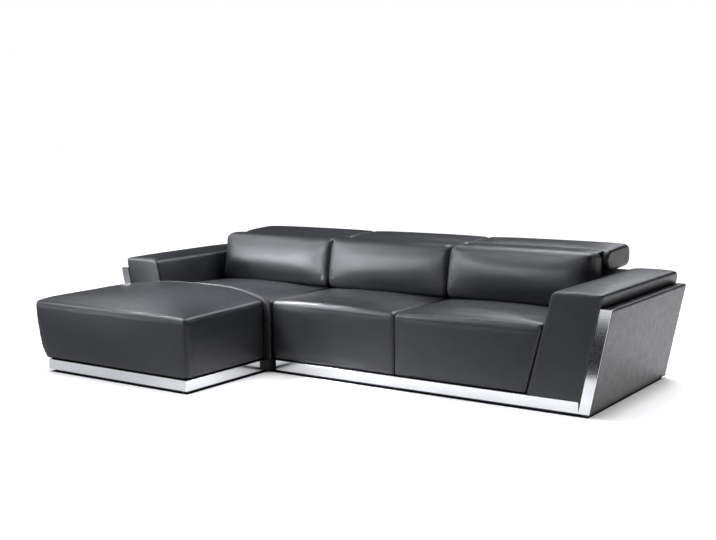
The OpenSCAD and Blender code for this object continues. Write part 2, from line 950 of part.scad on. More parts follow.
// Padded front, top and sides, open at the bottom and the rear, drawn with the arm on the right
module back_cover(inner, spots) {
    nose = 14;
    slot_room = foot_half + 2;
    difference() {
        intersection() {
            along_y(back_rear + soft_gap, cover_rear)
                back_outline(inner, shelf_z, 0);
            along_x(inner - 1, arm_x(shelf_z) + 1) {
                translate([back_rear, base_z + soft_gap])
                    square([cover_rear - back_rear, shelf_z - nose - base_z - soft_gap]);
                translate([back_rear + soft_gap + nose, base_z + soft_gap])
                    square([cover_rear - back_rear - soft_gap - nose, shelf_z - base_z - soft_gap]);
                translate([back_rear + soft_gap + nose, shelf_z - nose])
                    circle(nose);
            }
        }
        along_y(back_rear + soft_gap + cover_t, cover_rear + 1)
            back_outline(inner, shelf_z - cover_t, cover_t);
        for (x = spots)
            block([x - slot_half, hinge_y - slot_room, shelf_z - cover_t - 1],
                [x + slot_half, hinge_y + slot_room, shelf_z + 1]);
    }
}

module back_cover_left() {
    leather()
        to_left()
            back_cover(-module_left_x, [for (x = left_hinges) -x]);
}

module back_cover_right() {
    leather()
        back_cover(module_right_x, right_hinges);
}

module rear_panel(inner) {
    along_y(cover_rear, rear_y)
        back_outline(inner, shelf_z, 1);
}

module rear_panel_left() {
    leather()
        to_left()
            rear_panel(-module_left_x);
}

module rear_panel_right() {
    leather()
        rear_panel(module_right_x);
}

// Back cushions: they lean back, swell to the front and draw in towards their ends

cushion_low = seat_z + 2 * soft_gap;
cushion_foot_r = 46;
cushion_heel_r = 12;
cushion_rear_r = 26;
cushion_top_r = 56;
cushion_end_r = 26;
cushion_top_crown = 7;
cushion_body = 9;

function back_outline_at(e, share) = outline([
    [[seat_d + e, cushion_low + e], cushion_foot_r, 4, 1, 0],
    [[back_rear - e, cushion_low + e], cushion_heel_r, 2, 2, 0],
    [[back_rear - e, back_z - back_fall - e], cushion_rear_r, 3, 4, cushion_top_crown * share],
    [[seat_d + back_lean + e, back_z - e], cushion_top_r, 5, 7, back_crown * share]
]);

module back_cushion(span) {
    half = (span[1] - span[0]) / 2;
    ends = end_steps(cushion_end_r, 4);
    stops = concat(
        ends,
        [for (k = [1:cushion_body - 1]) cushion_end_r + (2 * half - 2 * cushion_end_r) * k / cushion_body],
        [for (k = [4:-1:0]) 2 * half - ends[k]]
    );
    leather()
        loft([for (k = [len(stops) - 1:-1:0])
            let (
                t = stops[k],
                e = max(drawn_in(t, cushion_end_r), drawn_in(2 * half - t, cushion_end_r)) * 0.8,
                share = 1 - pow(abs(t / half - 1), 4)
            )
            [for (p = back_outline_at(e, share)) [span[0] + t, p.x, p.y]]]);
}

module back_cushion_left() back_cushion(back_spans[0]);
module back_cushion_middle() back_cushion(back_spans[1]);
module back_cushion_right() back_cushion(back_spans[2]);

// Headrests: a slab whose nose turns round the hinge axis, with a board and ratchet arms inside

board_y = hinge_y + board_start;
head_board_w = 0.56 * head_depth;
board_cut = 50;
board_in = 60;

module headrest_pad(span) {
    end_r = 16;
    top_nose = hinge_z + nose_r;
    rear_r = 52;
    rear_low = hinge_z - nose_r + 12;
    half = (span[1] - span[0]) / 2;
    ends = end_steps(end_r, 3);
    body = 7;
    stops = concat(
        ends,
        [for (k = [1:body - 1]) end_r + (2 * half - 2 * end_r) * k / body],
        [for (k = [3:-1:0]) 2 * half - ends[k]]
    );
    nose = nose_r - 0.5;
    leather()
        difference() {
            loft([for (k = [len(stops) - 1:-1:0])
                let (
                    t = stops[k],
                    e = max(drawn_in(t, end_r), drawn_in(2 * half - t, end_r)) * 0.8,
                    share = 1 - pow(abs(t / half - 1), 4)
                )
                [for (p = outline([
                    [[hinge_y - nose_r + e, hinge_z - nose_r + e], nose - e, 5, 2, 0],
                    [[head_rear - e, rear_low + e], rear_r, 4, 1, 0],
                    [[head_rear - e, head_z - e], rear_r, 5, 6, head_crown * share],
                    [[hinge_y - nose_r + e, top_nose - e], nose - e, 6, 1, 0]
                ])) [span[0] + t, p.x, p.y]]]);
            for (x = hinges(span)) {
                block([x - slot_half, hinge_y - nose_r - 10, hinge_z - nose_r - 10],
                    [x + slot_half, hinge_y + slot_r, hinge_z + slot_r]);
                block([x - slot_half, hinge_y, hinge_z - head_board_t / 2 - tab_t - 2],
                    [x + slot_half, hinge_y + arm_reach + 4, hinge_z + head_board_t / 2 + 2]);
            }
            block([span[0] + board_cut, board_y - soft_gap, hinge_z - head_board_t / 2 - soft_gap],
                [span[1] - board_cut, board_y + head_board_w + soft_gap,
                    hinge_z + head_board_t / 2 + soft_gap]);
        }
}

module headrest_board(span) {
    timber()
        block([span[0] + board_in, board_y, hinge_z - head_board_t / 2],
            [span[1] - board_in, board_y + head_board_w, hinge_z + head_board_t / 2]);
}

module headrest_pad_left() headrest_pad(head_spans[0]);
module headrest_pad_middle() headrest_pad(head_spans[1]);
module headrest_pad_right() headrest_pad(head_spans[2]);
module headrest_board_left() headrest_board(head_spans[0]);
module headrest_board_middle() headrest_board(head_spans[1]);
module headrest_board_right() headrest_board(head_spans[2]);

// The fixed leg of a hinge: a foot on the top rail, an ear and a toothed disc round the axis

leg_x = -6;
disc_x = leg_x + leg_t;
arm_x0 = disc_x + disc_t + soft_gap;

// A smooth rim with teeth that begin above the rearward arm and run up over the top
module disc_profile() {
    root = disc_r - tooth_depth;
    past = disc_r + 1;
    back = tooth_angle - 3;
    difference() {
        circle(disc_r);
        for (k = [0:teeth - 1])
            rotate([0, 0, first_tooth + k * tooth_angle])
                polygon([
                    [root, 0],
                    [past, 0],
                    [past * cos(back), past * sin(back)],
                    [disc_r * cos(back), disc_r * sin(back)]
                ]);
    }
}

module ratchet_leg() {
    difference() {
        union() {
            along_x(leg_x, leg_x + leg_t) {
                circle(ear_r);
                translate([-neck_half, rail_z - hinge_z])
                    square([2 * neck_half, hinge_z - rail_z]);
            }
            along_x(disc_x, disc_x + disc_t)
                disc_profile();
            block([-foot_wide, -foot_half, rail_z - hinge_z],
                [foot_wide, foot_half, rail_z - hinge_z + foot_t]);
        }
        rod(leg_x - 1, arm_x0, 0, 0, pin_r + pin_gap);
        for (dy = screw_spots)
            translate([0, dy, rail_z - hinge_z - 1])
                cylinder(h = foot_t + 2, r = screw_r + pin_gap);
    }
}

// Moves its children to the axis of each hinge
module at_hinges(spots) {
    for (x = spots)
        translate([x, hinge_y, hinge_z])
            children();
}

module ratchet_legs() {
    steel()
        at_hinges(all_hinges)
            ratchet_leg();
}

module leg_screws() {
    steel()
        at_hinges(all_hinges)
            for (dy = screw_spots)
                translate([0, dy, rail_z - hinge_z]) {
                    translate([0, 0, foot_t - screw_l])
                        cylinder(h = screw_l, r = screw_r);
                    translate([0, 0, foot_t])
                        cylinder(h = screw_head_h, r = screw_head_r);
                }
}

// Rivets with a head at each end
module hinge_pins() {
    end = arm_x0 + arm_t + soft_gap;
    steel()
        at_hinges(all_hinges) {
            rod(leg_x - head_t, leg_x, 0, 0, head_r);
            rod(leg_x - 1, end + 1, 0, 0, pin_r);
            rod(end, end + head_t, 0, 0, head_r);
        }
}

// The moving arm: a plate from the pin to the board, a tab under the board and a stud for the pawl
module ratchet_arm() {
    under = -head_board_t / 2 - tab_t;
    difference() {
        union() {
            along_x(arm_x0, arm_x0 + arm_t) {
                circle(eye_r);
                translate([0, under])
                    square([board_start - soft_gap, arm_top - under]);
            }
            block([-foot_wide, board_start - tab_lap, under], [foot_wide, arm_reach, under + tab_t]);
            rod(arm_x0 - disc_t, arm_x0 + 1, pawl_y, pawl_z, pawl_pin_r);
        }
        rod(arm_x0 - 1, arm_x0 + arm_t + 1, 0, 0, pin_r + pin_gap);
    }
}

// A pawl whose nose rides just off the rim of the disc
module ratchet_pawl() {
    along_x(arm_x0 - disc_t + pawl_side, arm_x0 - soft_gap)
        difference() {
            union() {
                translate([pawl_y, pawl_z])
                    circle(pawl_r);
                polygon([
                    [pawl_y, pawl_z + pawl_r],
                    [disc_r + pawl_clear, pawl_r - 1],
                    [disc_r + pawl_clear, pawl_r - 5],
                    [pawl_y - pawl_r / 2, pawl_z - pawl_r / 2]
                ]);
            }
            translate([pawl_y, pawl_z])
                circle(pawl_pin_r + pin_gap);
        }
}

module ratchet_arms(span) {
    steel()
        at_hinges(hinges(span))
            ratchet_arm();
}

module ratchet_pawls(span) {
    steel()
        at_hinges(hinges(span))
            ratchet_pawl();
}

module ratchet_arms_left() ratchet_arms(head_spans[0]);
module ratchet_arms_middle() ratchet_arms(head_spans[1]);
module ratchet_arms_right() ratchet_arms(head_spans[2]);
module ratchet_pawls_left() ratchet_pawls(head_spans[0]);
module ratchet_pawls_middle() ratchet_pawls(head_spans[1]);
module ratchet_pawls_right() ratchet_pawls(head_spans[2]);

// Module connectors: tapered hooks on the two-seat module drop into keepers on the chaise module

link_w = 60;
link_h = 74;
link_t = 3;
link_spots = [seat_wall + 1.8 * link_w, frame_rear - 2 * link_w];
link_z = (base_z + deck_z) / 2 + 10;
link_from = module_left_x - link_space / 2;
link_to = module_right_x + link_space / 2;
link_low = link_z - link_h / 2;
link_high = link_z + link_h / 2;
hook_low = link_low + 2 * link_t;
keeper_t = 10;
tongue_t = 4;
wedge_low = 12;
wedge_high = 20;
lip = 5;

// The tapered shape of hook and keeper, wider by grow on each side
module wedge_profile(grow) {
    translate([0, hook_low])
        polygon([
            [-wedge_low - grow, 0],
            [wedge_low + grow, 0],
            [wedge_high + grow, link_high - hook_low],
            [-wedge_high - grow, link_high - hook_low]
        ]);
}

// A pressed plate with a tapered pocket behind two lips, open at the top
module module_keepers() {
    pocket = link_from + link_t;
    mouth = pocket + tongue_t;
    steel()
        for (y = link_spots)
            difference() {
                block([link_from, y - link_w / 2, link_low],
                    [link_from + keeper_t, y + link_w / 2, link_high]);
                translate([0, y, 1]) {
                    along_x(pocket, mouth)
                        wedge_profile(soft_gap);
                    along_x(mouth - 1, link_from + keeper_t + 1)
                        wedge_profile(-lip);
                }
            }
}

// A plate with a tongue that fills the pocket and a neck between the lips
module module_hooks() {
    pocket = link_from + link_t + soft_gap;
    mouth = pocket + tongue_t - 2 * soft_gap;
    steel()
        for (y = link_spots)
            translate([0, y, 0]) {
                block([link_to - link_t, -link_w / 2, link_low], [link_to, link_w / 2, link_high]);
                translate([0, 0, 1 + soft_gap]) {
                    along_x(pocket, mouth)
                        wedge_profile(0);
                    along_x(mouth - joint_gap, link_to - link_t)
                        wedge_profile(-lip - soft_gap);
                }
            }
}

chaise_glides();
sofa_glides();
chaise_runners();
sofa_runners();
chaise_plinth();
sofa_plinth();
chaise_battens();
sofa_battens();
chaise_base_frame();
sofa_base_frame();
chaise_webbing();
sofa_webbing();
chaise_dust_cover();
sofa_dust_cover();
chaise_pad();
seat_pad_left();
seat_pad_middle();
seat_pad_right();
left_arm_pad();
right_arm_pad();
left_arm_frame();
right_arm_frame();
left_side_panel();
right_side_panel();
left_upright();
right_upright();
back_frame_left();
back_frame_right();
back_cover_left();
back_cover_right();
rear_panel_left();
rear_panel_right();
back_cushion_left();
back_cushion_middle();
back_cushion_right();
ratchet_legs();
leg_screws();
hinge_pins();
headrest_pad_left();
headrest_pad_middle();
headrest_pad_right();
headrest_board_left();
headrest_board_middle();
headrest_board_right();
ratchet_arms_left();
ratchet_arms_middle();
ratchet_arms_right();
ratchet_pawls_left();
ratchet_pawls_middle();
ratchet_pawls_right();
module_hooks();
module_keepers();
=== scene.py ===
import json
import math

import bmesh
import bpy
import numpy as np
from mathutils import Matrix, Vector, noise
from mathutils.bvhtree import BVHTree
from mathutils.kdtree import KDTree

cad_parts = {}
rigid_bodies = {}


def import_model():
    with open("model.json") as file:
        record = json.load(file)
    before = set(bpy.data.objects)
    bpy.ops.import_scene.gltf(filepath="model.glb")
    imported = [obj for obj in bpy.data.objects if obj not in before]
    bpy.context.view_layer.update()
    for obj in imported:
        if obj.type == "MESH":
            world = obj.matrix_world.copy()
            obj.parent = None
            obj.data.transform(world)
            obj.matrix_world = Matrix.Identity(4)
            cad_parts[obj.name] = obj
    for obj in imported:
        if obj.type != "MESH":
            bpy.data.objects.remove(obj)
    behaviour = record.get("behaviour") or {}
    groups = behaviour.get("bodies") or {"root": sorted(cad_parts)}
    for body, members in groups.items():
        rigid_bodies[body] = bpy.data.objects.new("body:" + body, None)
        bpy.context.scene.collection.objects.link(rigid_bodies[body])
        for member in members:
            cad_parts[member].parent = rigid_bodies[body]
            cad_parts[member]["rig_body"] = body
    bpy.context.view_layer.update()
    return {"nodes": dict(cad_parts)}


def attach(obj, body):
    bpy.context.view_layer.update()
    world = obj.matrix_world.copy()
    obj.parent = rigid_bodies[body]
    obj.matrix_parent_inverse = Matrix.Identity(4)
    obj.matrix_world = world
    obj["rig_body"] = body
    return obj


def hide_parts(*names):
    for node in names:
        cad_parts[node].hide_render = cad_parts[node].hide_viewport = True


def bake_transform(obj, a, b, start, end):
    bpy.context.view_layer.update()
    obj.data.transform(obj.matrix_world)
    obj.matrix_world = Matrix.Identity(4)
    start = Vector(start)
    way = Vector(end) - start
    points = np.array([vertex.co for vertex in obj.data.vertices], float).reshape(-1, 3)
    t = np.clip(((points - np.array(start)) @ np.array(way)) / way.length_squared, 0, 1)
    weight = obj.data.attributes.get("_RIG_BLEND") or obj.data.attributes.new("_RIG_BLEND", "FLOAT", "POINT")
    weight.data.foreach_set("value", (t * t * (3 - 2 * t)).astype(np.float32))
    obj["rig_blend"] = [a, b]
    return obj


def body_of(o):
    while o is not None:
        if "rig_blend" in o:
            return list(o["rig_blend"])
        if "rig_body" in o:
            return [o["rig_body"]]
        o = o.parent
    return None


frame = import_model()
nodes = frame["nodes"]
scene = bpy.context.scene
print("frame loaded,", len(nodes), "nodes")

# Camera, at the photograph's viewing angle

cameraView = {
    "place": (3.8631, -5.3625, 1.4861),
    "yaw": 35.32,  # degrees to the left of straight on
    "pitch": 7.39,  # degrees down
    "roll": -0.86,
    "lens": 56.0,
    "sensor": 36,
}


def makeCamera(look):
    yaw, pitch, roll = (math.radians(look[k]) for k in ("yaw", "pitch", "roll"))
    ahead = Vector((-math.sin(yaw) * math.cos(pitch), math.cos(yaw) * math.cos(pitch), -math.sin(pitch)))
    right = ahead.cross(Vector((0, 0, 1))).normalized()
    up = right.cross(ahead)
    rightRolled = math.cos(roll) * right + math.sin(roll) * up
    upRolled = math.cos(roll) * up - math.sin(roll) * right
    data = bpy.data.cameras.new("photoCamera")
    data.lens = look["lens"]
    data.sensor_width = look["sensor"]
    camera = bpy.data.objects.new("photoCamera", data)
    scene.collection.objects.link(camera)
    turn = Matrix((rightRolled, upRolled, -ahead)).transposed().to_4x4()
    camera.matrix_world = Matrix.Translation(look["place"]) @ turn
    return camera


scene.camera = makeCamera(cameraView)

# Shared helpers

mergeGap = 1e-5
sides = ("left", "middle", "right")
roundingLook = {
    "flat": math.radians(0.5),  # faces that meet at less than this are one face
    "sharp": math.radians(35),  # edges that turn by more than this are rounded
}


def meshPiece(name, bm, smooth=True):
    mesh = bpy.data.meshes.new(name)
    bm.normal_update()
    bm.to_mesh(mesh)
    bm.free()
    for face in mesh.polygons:
        face.use_smooth = smooth
    piece = bpy.data.objects.new(name, mesh)
    scene.collection.objects.link(piece)
    return piece


# a merged copy of a frame node's mesh
def nodeMesh(nodeName):
    bm = bmesh.new()
    bm.from_mesh(nodes[nodeName].data)
    bmesh.ops.remove_doubles(bm, verts=bm.verts, dist=mergeGap)
    return bm


def bevelEdges(bm, edges, width, segments):
    bmesh.ops.bevel(
        bm,
        geom=edges,
        offset=width,
        segments=segments,
        profile=0.5,
        affect="EDGES",
        clamp_overlap=True,
        material=-1,
    )


# a copy of a frame node's mesh with its sharp edges rounded
def roundedNode(nodeName, width, segments):
    bm = nodeMesh(nodeName)
    bmesh.ops.dissolve_limit(bm, angle_limit=roundingLook["flat"], verts=bm.verts, edges=bm.edges)
    inner = [e for e in bm.edges if len(e.link_faces) == 2]
    sharp = [e for e in inner if e.calc_face_angle_signed(0) > roundingLook["sharp"]]
    bevelEdges(bm, sharp, width, segments)
    return bm


# moves each corner of a unit shape about the origin to the same corner between two places
def stretchBetween(bm, low, high):
    for v in bm.verts:
        v.co = Vector(low[i] if v.co[i] < 0 else high[i] for i in range(3))


def roundedBox(name, look, segments=3):
    bm = bmesh.new()
    bmesh.ops.create_cube(bm, size=1)
    stretchBetween(bm, look["low"], look["high"])
    bevelEdges(bm, bm.edges[:], look["bevel"], segments)
    return meshPiece(name, bm)


# turns a piece's modifiers into its mesh
def applyAll(piece):
    graph = bpy.context.evaluated_depsgraph_get()
    baked = bpy.data.meshes.new_from_object(piece.evaluated_get(graph))
    old = piece.data
    piece.modifiers.clear()
    piece.data = baked
    baked.name = piece.name
    bpy.data.meshes.remove(old)
    for face in baked.polygons:
        face.use_smooth = True


# one search tree over several meshes
def meshTree(meshes):
    points, faces = [], []
    for mesh in meshes:
        first = len(points)
        points += [v.co.copy() for v in mesh.vertices]
        faces += [[first + i for i in p.vertices] for p in mesh.polygons]
    return BVHTree.FromPolygons(points, faces)


# moves vertices only once all the moves are known, so that each normal is still that of the old shape
def moveAll(moves):
    for v, move in moves:
        v.co += move


def dress(piece, material, body):
    piece.data.materials.clear()
    piece.data.materials.append(material)
    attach(piece, body)


# Materials


# a small builder for one node material
class Shader:
    def __init__(self, name):
        self.material = bpy.data.materials.new(name)
        self.material.use_nodes = True
        self.tree = self.material.node_tree
        self.surface = self.tree.nodes["Principled BSDF"]
        self.coords = self.add("ShaderNodeTexCoord").outputs["Object"]

    def add(self, kind, **settings):
        node = self.tree.nodes.new(kind)
        for key, value in settings.items():
            if hasattr(node, key):
                setattr(node, key, value)
            else:
                node.inputs[key.replace("_", " ")].default_value = value
        return node

    def join(self, source, target):
        self.tree.links.new(source, target)

    def maths(self, operation, first, second):
        node = self.add("ShaderNodeMath", operation=operation)
        self.join(first, node.inputs[0])
        self.join(second, node.inputs[1])
        return node.outputs[0]

    def noise(self, scale, detail=3.0, rough=0.5, vector=None):
        node = self.add("ShaderNodeTexNoise", Scale=scale, Detail=detail, Roughness=rough)
        self.join(vector or self.coords, node.inputs["Vector"])
        return node.outputs["Fac"]

    def remap(self, value, low, high, fromLow=0.0, fromHigh=1.0):
        node = self.add("ShaderNodeMapRange")
        for key, number in (("From Min", fromLow), ("From Max", fromHigh), ("To Min", low), ("To Max", high)):
            node.inputs[key].default_value = number
        self.join(value, node.inputs["Value"])
        return node.outputs["Result"]

    def blend(self, factor, colorA, colorB):
        node = self.add("ShaderNodeMix", data_type="RGBA")
        self.join(factor, node.inputs["Factor"])
        for socket, color in ((node.inputs[6], colorA), (node.inputs[7], colorB)):  # the two colour sockets
            if isinstance(color, tuple):
                socket.default_value = (*color, 1)
            else:
                self.join(color, socket)
        return node.outputs[2]

    def bump(self, height, distance, strength=1.0, base=None):
        node = self.add("ShaderNodeBump", Strength=strength, Distance=distance)
        self.join(height, node.inputs["Height"])
        if base:
            self.join(base, node.inputs["Normal"])
        return node.outputs["Normal"]

    def stretched(self, scale):
        node = self.add("ShaderNodeMapping")
        node.inputs["Scale"].default_value = scale
        self.join(self.coords, node.inputs["Vector"])
        return node.outputs["Vector"]

    def set(self, **values):
        for key, value in values.items():
            socket = self.surface.inputs[key.replace("_", " ")]
            if isinstance(value, bpy.types.NodeSocket):
                self.join(value, socket)
            else:
                isColor = isinstance(value, tuple) and len(value) == 3
                socket.default_value = (*value, 1) if isColor else value


noiseRange = (0.3, 0.7)  # where most of a noise's values lie

leatherLook = {
    "dark": (0.0165, 0.0172, 0.0195),
    "light": (0.0265, 0.0275, 0.0305),
    "worn": (0.045, 0.046, 0.05),  # on outward edges
    "wornFrom": 0.52,
    "wornTo": 0.62,
    "wornShare": 0.6,
    "cloudScale": 3.2,  # broad changes of tone
    "roughLow": 0.30,
    "roughHigh": 0.40,
    "roughScale": 24,
    "softScale": 7,
    "softBump": (0.003, 0.2),  # depth in metres and strength
    "creaseScale": 60,
    "creaseBump": (0.0005, 0.25),
    "grainScale": 420,  # pebbles of about 2.4 mm
    "grainBump": (0.0002, 0.55),
    "pebbleDome": 0.22,
    "warpScale": 160,
    "warp": 0.0022,
}
# painted shade: a darker, rougher copy of the leather for the corner return, dark because the corner gets no
# light
paintedShadeLeatherLook = {  # the leather down in the corner, which gets no light
    "dark": (0.006, 0.006, 0.007),
    "light": (0.010, 0.010, 0.012),
    "roughLow": 0.55,
    "roughHigh": 0.7,
}


def makeLeather(look):
    s = Shader("leather")
    tone = s.remap(s.noise(look["cloudScale"], 4), 0, 1, *noiseRange)
    base = s.blend(tone, look["dark"], look["light"])
    geometry = s.add("ShaderNodeNewGeometry")
    edge = s.remap(geometry.outputs["Pointiness"], 0, look["wornShare"], look["wornFrom"], look["wornTo"])
    color = s.blend(edge, base, look["worn"])
    warp = s.add("ShaderNodeVectorMath", operation="MULTIPLY_ADD")
    warpNoise = s.add("ShaderNodeTexNoise", Scale=look["warpScale"], Detail=2)
    s.join(s.coords, warpNoise.inputs["Vector"])
    s.join(warpNoise.outputs["Color"], warp.inputs[0])
    warp.inputs[1].default_value = [look["warp"]] * 3
    s.join(s.coords, warp.inputs[2])
    cells = s.add("ShaderNodeTexVoronoi", feature="DISTANCE_TO_EDGE", Scale=look["grainScale"])
    s.join(warp.outputs[0], cells.inputs["Vector"])
    pebbles = s.remap(cells.outputs["Distance"], 0, 1, 0, look["pebbleDome"])
    soft = s.bump(s.noise(look["softScale"], 2), *look["softBump"])
    crease = s.bump(s.noise(look["creaseScale"], 3), *look["creaseBump"], soft)
    grain = s.bump(pebbles, *look["grainBump"], crease)
    rough = s.remap(s.noise(look["roughScale"], 3), look["roughLow"], look["roughHigh"], *noiseRange)
    s.set(Base_Color=color, Roughness=rough, Normal=grain, Specular_IOR_Level=0.5)
    return s.material


polishedLook = {"tint": (0.80, 0.81, 0.82), "rough": 0.09, "streak": 0.06}
zincLook = {"tint": (0.52, 0.53, 0.55), "rough": 0.3, "streak": 0.15}
rolledLook = {
    "stretch": (6, 6, 900),  # fine level lines from the rolling
    "lineBump": (0.00003, 0.4),
    "patchScale": 5,
    "patchShade": 0.93,
    "waveScale": 4,
    "waveBump": (0.0008, 0.2),
}


def makeSteel(name, look, rolled):
    s = Shader(name)
    lines = s.noise(1.0, 2, 0.6, s.stretched(rolled["stretch"]))
    patches = s.remap(s.noise(rolled["patchScale"], 3), 0, 1, *noiseRange)
    shine = s.blend(patches, look["tint"], tuple(rolled["patchShade"] * c for c in look["tint"]))
    rough = s.remap(lines, look["rough"], look["rough"] + look["streak"], *noiseRange)
    waves = s.bump(s.noise(rolled["waveScale"], 2), *rolled["waveBump"])
    s.set(Base_Color=shine, Metallic=1.0, Roughness=rough, Normal=s.bump(lines, *rolled["lineBump"], waves))
    return s.material


timberLook = {"dark": (0.30, 0.19, 0.10), "light": (0.50, 0.35, 0.20)}
stainedLook = {"dark": (0.008, 0.008, 0.008), "light": (0.014, 0.013, 0.013)}
grainLook = {
    "rings": 3.0,
    "ringStretch": (1.5, 9, 9),
    "ringRange": (0.35, 0.65),
    "fibres": 30,
    "fibreStretch": (1, 12, 12),
    "fibreBump": (0.0004, 0.4),
    "rough": (0.55, 0.75),
}


def makeTimber(name, look, grain):
    s = Shader(name)
    rings = s.noise(grain["rings"], 5, 0.6, s.stretched(grain["ringStretch"]))
    fibres = s.noise(grain["fibres"], 3, 0.7, s.stretched(grain["fibreStretch"]))
    color = s.blend(s.remap(rings, 0, 1, *grain["ringRange"]), look["dark"], look["light"])
    bumps = s.bump(fibres, *grain["fibreBump"])
    s.set(Base_Color=color, Roughness=s.remap(fibres, *grain["rough"]), Normal=bumps)
    return s.material


plasticLook = {"dark": (0.009, 0.009, 0.010), "light": (0.016, 0.016, 0.017)}
threadLook = {"dark": (0.020, 0.020, 0.022), "light": (0.032, 0.032, 0.035)}
speckLook = {"cloudScale": 8, "scale": 300, "bump": (0.0001, 0.5), "rough": (0.4, 0.6)}


def makePlastic(name, look, specks):
    s = Shader(name)
    speck = s.noise(specks["scale"], 2)
    color = s.blend(s.noise(specks["cloudScale"], 3), look["dark"], look["light"])
    s.set(Base_Color=color, Roughness=s.remap(speck, *specks["rough"]), Normal=s.bump(speck, *specks["bump"]))
    return s.material


webbingLook = {"dark": (0.012, 0.012, 0.014), "light": (0.035, 0.035, 0.04), "pitch": 260}
dustLook = {"dark": (0.008, 0.008, 0.008), "light": (0.02, 0.02, 0.02), "pitch": 400}
weaveLook = {"bump": (0.0004, 0.6), "roughScale": 40, "rough": (0.8, 0.95)}


def makeCloth(name, look, woven):
    s = Shader(name)
    waves = []
    for direction in "XY":
        wave = s.add("ShaderNodeTexWave", wave_type="BANDS", bands_direction=direction, Scale=look["pitch"])
        s.join(s.coords, wave.inputs["Vector"])
        waves.append(wave.outputs["Fac"])
    weave = s.maths("MULTIPLY", *waves)
    color = s.blend(weave, look["dark"], look["light"])
    rough = s.remap(s.noise(woven["roughScale"], 3), *woven["rough"])
    s.set(Base_Color=color, Roughness=rough, Normal=s.bump(weave, *woven["bump"]))
    return s.material


leather = makeLeather(leatherLook)
# the copy of the leather with painted shade, for the corner return
paintedShadeLeather = makeLeather({**leatherLook, **paintedShadeLeatherLook})
polished = makeSteel("polishedSteel", polishedLook, rolledLook)
zinc = makeSteel("zincSteel", zincLook, rolledLook)
timber = makeTimber("timber", timberLook, grainLook)
stained = makeTimber("stainedTimber", stainedLook, grainLook)
blackPlastic = makePlastic("blackPlastic", plasticLook, speckLook)
thread = makePlastic("thread", threadLook, speckLook)
webbing = makeCloth("webbing", webbingLook, weaveLook)
dustCloth = makeCloth("dustCloth", dustLook, weaveLook)
print("materials ready")

# the finish of each frame node, found by the start or the end of its name; the first match counts
nodeFinish = {
    "glides": blackPlastic,
    "runners": blackPlastic,
    "plinth": polished,
    "upright": polished,
    "battens": stained,
    "base_frame": stained,
    "frame": timber,
    "frame_left": timber,
    "frame_right": timber,
    "webbing": webbing,
    "dust_cover": dustCloth,
    "ratchet": zinc,
    "screws": zinc,
    "pins": zinc,
    "hooks": zinc,
    "keepers": zinc,
    "headrest_board": timber,
}
for nodeName, node in nodes.items():
    found = [m for key, m in nodeFinish.items() if nodeName.endswith(key) or nodeName.startswith(key)]
    node.data.materials.clear()
    node.data.materials.append(found[0] if found else leather)

# Soft pieces: each starts as an even copy of its frame solid, swells under pressure where nothing touches
# it, and settles back into the room that the solid and its neighbours leave

chaiseLook = {"voxel": 0.014, "round": 9, "swell": 0.002, "cap": 0.003, "fill": 0.9, "calm": 5}
seatLook = {"voxel": 0.013, "round": 5, "swell": 0.004, "cap": 0.006, "fill": 0.85, "calm": 14}
cushionLook = {"voxel": 0.012, "round": 4, "swell": 0.010, "cap": 0.018, "fill": 0.75, "calm": 60}
headrestLook = {"voxel": 0.012, "round": 4, "swell": 0.003, "cap": 0.004, "fill": 0.8, "calm": 4}
armLook = {"bevel": 0.013, "voxel": 0.009, "round": 2, "fill": 0.95}
panelLook = {"bevel": 0.009, "voxel": 0.008, "round": 2, "fill": 1.0}

padKinds = {"seat_pad_": seatLook, "back_cushion_": cushionLook, "headrest_pad_": headrestLook}
padLook = {"chaise_pad": chaiseLook}
for kind, look in padKinds.items():
    padLook.update({kind + side: look for side in sides})
tightLook = {}
for kind, look in {"_arm_pad": armLook, "_side_panel": panelLook}.items():
    tightLook.update({side + kind: look for side in ("left", "right")})

swellLook = {
    "frames": 14,
    "quality": 4,
    "mass": 0.3,
    "stretch": 15,
    "shear": 5,
    "bend": 0.5,
    "pressure": 4,
    "heldRoom": 0.002,  # leather with less room than this is held
    "heldTuck": 0.001,  # how far inside the held leather starts
    "freeTuck": 0.004,
}
roomLook = {
    "start": 1e-4,  # how far outside the solid the look for neighbours starts
    "reach": 0.004,  # how much further than twice the swell it goes
    "clear": 0.0008,  # space kept from the middle of a gap
    "refill": 0.008,  # how far a thin place is filled out at most
}
calmLook = {
    "endFade": 0.05,  # the calming fades over this length towards each end
    "endShare": 0.03,  # and this much of it is left there
    "base": 0.06,  # it fades over this height towards the foot
}
smoothing = 0.5
bevelSteps = 4


def evenMesh(piece, look):
    even = piece.modifiers.new("even", "REMESH")
    even.mode = "VOXEL"
    even.voxel_size = look["voxel"]
    soften = piece.modifiers.new("soften", "SMOOTH")
    soften.factor = smoothing
    soften.iterations = look["round"]
    applyAll(piece)
    return piece


# a search tree of the pad's own solid, and how far each vertex may stand out of it
def measureRoom(piece, nodeName, swell):
    own = meshTree([nodes[nodeName].data])
    others = meshTree([node.data for name, node in nodes.items() if name != nodeName])
    rooms = []
    for v in piece.data.vertices:
        spot, normal, _, _ = own.find_nearest(v.co)
        start = spot + normal * roomLook["start"]
        hit = others.ray_cast(start, normal, 2 * swell + roomLook["reach"])[3]
        rooms.append(swell if hit is None else hit / 2 - roomLook["clear"])
    return own, rooms


# limits how far each vertex has moved, moves those that stand out too far back, and fills out thin places
def settle(piece, own, rooms, starts, cap):
    for v, room, start in zip(piece.data.vertices, rooms, starts):
        moved = v.co - start
        if moved.length > cap:
            v.co = start + moved.normalized() * cap
        spot, normal, _, distance = own.find_nearest(v.co)
        out = v.co - spot
        if out.dot(normal) > 0:
            if distance > room:
                v.co = spot + (out / distance * room if room > 0 else normal * room)
        elif room < 0 and distance < -room:
            v.co = spot + normal * room
        elif room > 0:
            v.co += normal * min(distance, roomLook["refill"])


